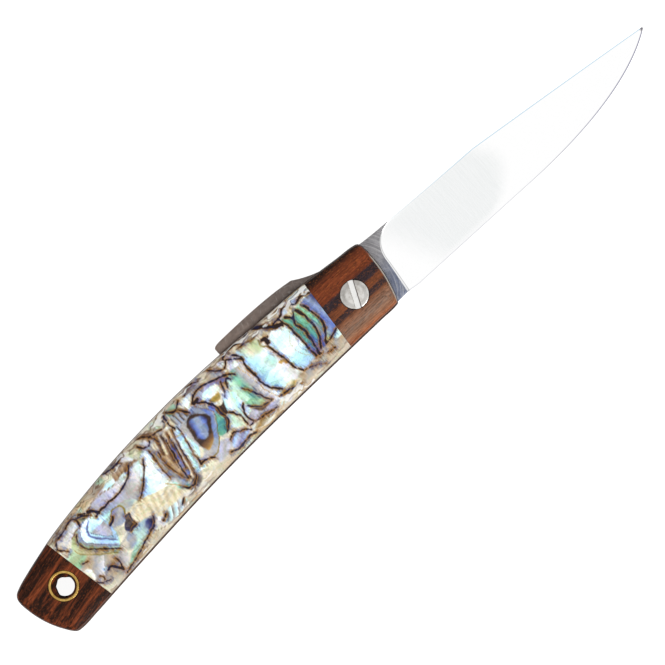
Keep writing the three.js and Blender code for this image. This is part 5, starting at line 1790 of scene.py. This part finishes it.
@dataclass
class Pivot:
    """The slotted screw and its barrel nut."""

    shank_radius: float = 1.45
    head_rim: float = 1.3
    dome: float = 0.35
    dome_steps: int = 14
    edge_break: float = 0.1
    edge_break_share: float = 0.3
    slot_width: float = 1.05
    slot_lean: float = 0.2
    slot_depth: float = 0.75
    slot_break: float = 0.05
    lip_angle: float = 50.0
    lip_rise: float = 0.1
    thread_fit: float = 0.08
    nut_face: float = 1.5
    nut_seat: float = 1.45
    barrel_radius: float = 2.5

    def slot(self, radius: float, floor: float) -> Mesh:
        """Makes the body that cuts the slot across a head of a radius, down to a floor."""
        mesh = bmesh.new()
        bmesh.ops.create_cube(mesh, size=1)
        bmesh.ops.scale(mesh, vec=(4 * radius, self.slot_width, 2 * OVERCUT), verts=mesh.verts)
        flare = 1 + 4 * self.slot_lean / self.slot_width
        bmesh.ops.scale(mesh, vec=(1, flare, 1), verts=[vert for vert in mesh.verts if vert.co.z > 0])
        turn = Matrix.Rotation(math.radians(SLOT_ANGLE), 3, "Z")
        bmesh.ops.rotate(mesh, cent=(0, 0, 0), matrix=turn, verts=mesh.verts)
        bmesh.ops.translate(mesh, vec=(0, 0, floor + OVERCUT), verts=mesh.verts)
        return mesh

    def build_screw(self, finish: Material) -> None:
        """Makes the screw with its domed, slotted head."""
        low, high = node_box("pivot_screw")
        seat = node_box("pivot_nut")[1][2]
        radius = high[0]
        rim = seat + self.head_rim
        edge = self.edge_break
        part_edge = edge * self.edge_break_share
        floor = rim + self.dome - self.slot_depth
        profile = [(0, low[2]), (self.shank_radius, low[2]), (self.shank_radius, seat), (radius, seat)]
        profile += [(radius, rim - edge), (radius - part_edge, rim - part_edge)]
        dome = [(radius - edge) * (1 - k / self.dome_steps) for k in range(self.dome_steps + 1)]
        profile += [(part, rim + self.dome * (1 - (part / radius) ** 2)) for part in dome]
        mesh = cut(turned(profile), self.slot(radius, floor))
        lips = [
            e for e in mesh.edges
            if len(e.link_faces) == 2 and e.calc_face_angle() > math.radians(self.lip_angle)
            and min(v.co.z for v in e.verts) > floor + self.lip_rise and e.is_convex
        ]
        break_edges(mesh, lips, self.slot_break)
        finish_piece("slotted_screw", tidy(mesh), BODY_HANDLE, [finish], ["pivot_screw"])

    def build_nut(self, finish: Material) -> None:
        """Makes the barrel nut, flush with the rear lands."""
        low, high = node_box("pivot_nut")
        radius = high[0]
        bore = self.shank_radius + self.thread_fit
        edge = self.edge_break
        part_edge = edge * self.edge_break_share
        profile = [
            (0, low[2]), (radius - edge, low[2]), (radius - part_edge, low[2] + part_edge),
            (radius, low[2] + edge), (radius, self.nut_seat), (self.barrel_radius, self.nut_seat),
            (self.barrel_radius, high[2]), (bore, high[2]), (bore, self.nut_face), (0, self.nut_face),
        ]
        finish_piece("barrel_nut", turned(profile), BODY_HANDLE, [finish], ["pivot_nut"])


@dataclass
class Spine:
    """The back spacer between the scales."""

    spacing: float = 0.3

    def build_spacer(self, finish: Material) -> None:
        """Makes the spacer from the outline and holes of its node."""
        low, high = (corner[2] for corner in node_box("back_spacer"))
        outline, *holes = node_loops("back_spacer", high)
        ring = smooth_loop(outline, even_steps(outline, self.spacing))
        mesh = cut(shell_of([raised(ring, low), raised(ring, high)]), *drills(holes, low, high))
        finish_piece("spine_spacer", mesh, BODY_HANDLE, [finish], ["back_spacer"])


@dataclass
class Studio:
    """The floor, the light and the camera. Lengths of the knife's view are millimetres, the others metres."""

    target: Pair = (-8.62, -2.42)
    turn: float = -44.3
    distance: float = 2600.0
    view_width: float = 135.4
    sensor: float = 36.0
    land: float = 13.0
    clip_end: float = 10.0
    floor_size: float = 3.0
    floor_gap: float = 0.00005
    floor_glow: float = 0.94
    floor_gloss: float = 0.22
    floor_tone: float = 0.32
    fill: float = 0.74
    low_fill: float = 0.58
    low_gloss: float = 0.45
    back_gloss: float = 0.55
    lamp_size: float = 0.45
    lamp_power: float = 2.5
    lamp_distance: float = 0.72
    lamp_lean: float = 56.0

    def build_camera(self) -> None:
        """Sets up the camera straight above the knife."""
        camera = bpy.data.objects.new("camera", bpy.data.cameras.new("camera"))
        camera.data.sensor_width = self.sensor
        camera.data.lens = self.sensor * self.distance / self.view_width
        camera.data.clip_end = self.clip_end
        camera.location = Vector((*self.target, self.distance + self.land)) * MM
        camera.rotation_euler = (0, 0, math.radians(self.turn))
        bpy.context.scene.collection.objects.link(camera)
        bpy.context.scene.camera = camera

    def build_floor(self) -> None:
        """Makes the white floor, which keeps a faint shadow. It is clear from below and to diffuse light."""
        mesh = bmesh.new()
        bmesh.ops.create_grid(mesh, x_segments=1, y_segments=1, size=self.floor_size)
        bmesh.ops.translate(mesh, vec=(0, 0, -self.floor_gap), verts=mesh.verts)
        floor = as_object("floor", mesh)
        material = bpy.data.materials.new("floor_white")
        material.use_nodes = True
        graph = Graph(material.node_tree)
        graph.tree.nodes.clear()
        light = graph.outputs("LightPath")
        seen = light["Is Camera Ray"].most(light["Is Glossy Ray"].most(light["Is Transmission Ray"]))
        dimmed = light["Is Glossy Ray"].remap(0, 1, self.floor_glow, self.floor_gloss)
        glow = graph.add("Emission", {"Strength": seen * dimmed})
        matte = graph.add("BsdfDiffuse", {"Color": (*(self.floor_tone,) * 3, 1)})
        clear = graph.outputs("NewGeometry")["Backfacing"].most(light["Is Diffuse Ray"])
        lit = graph.add("AddShader", {0: glow, 1: matte})
        mixed = graph.add("MixShader", {0: clear, 1: lit, 2: graph.add("BsdfTransparent")})
        graph.node("OutputMaterial", {"Surface": mixed})
        floor.data.materials.append(material)

    def build_world(self) -> None:
        """Makes the world: white where it is seen, plain light elsewhere, and dimmer reflections low down."""
        world = bpy.data.worlds.new("studio")
        world.use_nodes = True
        bpy.context.scene.world = world
        graph = Graph(world.node_tree)
        light = graph.outputs("LightPath")
        _, y, z = graph.outputs("TexCoord")["Generated"].axes()
        gloss = z.remap(0.0, 0.75, self.low_gloss, 1) * y.remap(0.1, 0.7, 1, self.back_gloss)
        soft = z.remap(-0.2, 0.1, self.low_fill, self.fill)
        plain = graph.add("Mix", {0: light["Is Glossy Ray"], 2: soft, 3: gloss}, data_type="FLOAT")
        seen = light["Is Camera Ray"].most(light["Is Transmission Ray"])
        strength = graph.add("Mix", {0: seen, 2: plain, 3: 1.0}, data_type="FLOAT")
        graph.feed(world.node_tree.nodes["Background"], {"Color": (1, 1, 1, 1), "Strength": strength})

    def build_lamp(self) -> None:
        """Hangs the softbox on the slot's side."""
        lamp = bpy.data.objects.new("softbox", bpy.data.lights.new("softbox", "AREA"))
        lamp.data.size = self.lamp_size
        lamp.data.energy = self.lamp_power
        lean = math.radians(self.lamp_lean)
        lamp.location = Vector((0, -math.sin(lean), math.cos(lean))) * self.lamp_distance
        lamp.rotation_euler = (lean, 0, 0)
        bpy.context.scene.collection.objects.link(lamp)


def dress_node(name: str, finish: Material) -> None:
    """Gives a CAD node that stays in view its finish."""
    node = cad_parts[name]
    if not node.material_slots:
        node.data.materials.append(finish)
    for slot in node.material_slots:
        slot.material = finish
    log.info("%s: the packed solid, dressed", name)


def main() -> None:
    """Builds the knife and its studio."""
    logging.basicConfig(level=logging.INFO, format="%(message)s")
    bpy.context.scene.view_settings.view_transform = "Standard"
    hardwood = effect("wood_grain", {"Tilt": 0, "Waver": 0.5}, grain)
    metal = effect("rubbed_metal", {"Turn": 0, "Fineness": 9}, scratches)
    dark_wood, front_wood, butt_wood = (wood.build(hardwood) for wood in (DARK_WOOD, FRONT_WOOD, BUTT_WOOD))
    shell, brass = SHELL.build(), EYELET_BRASS.build(metal)
    handle, painting = Handle(), ShellPainting()
    for side in Side:
        handle.build_base(side, dark_wood)
        handle.build_front_bolster(side, front_wood)
        painting.paint(handle.build_shell(side, shell), side)
        handle.build_butt(side, butt_wood)
        handle.build_eyelet(side, brass)
    Blade().build(TANG_STEEL.build(metal), GROUND_STEEL.build(metal))
    pivot = Pivot()
    pivot.build_screw(SCREW_STEEL.build(metal))
    pivot.build_nut(NUT_STEEL.build(metal))
    Spine().build_spacer(dark_wood)
    pin_steel, bronze = PIN_STEEL.build(metal), WASHER_BRONZE.build(metal)
    for name in ("stop_pin", "spacer_pin_a", "spacer_pin_b"):
        dress_node(name, pin_steel)
    for name in ("washer_front", "washer_rear"):
        dress_node(name, bronze)
    studio = Studio()
    studio.build_camera()
    studio.build_floor()
    studio.build_world()
    studio.build_lamp()


if __name__ == "__main__":
    main()
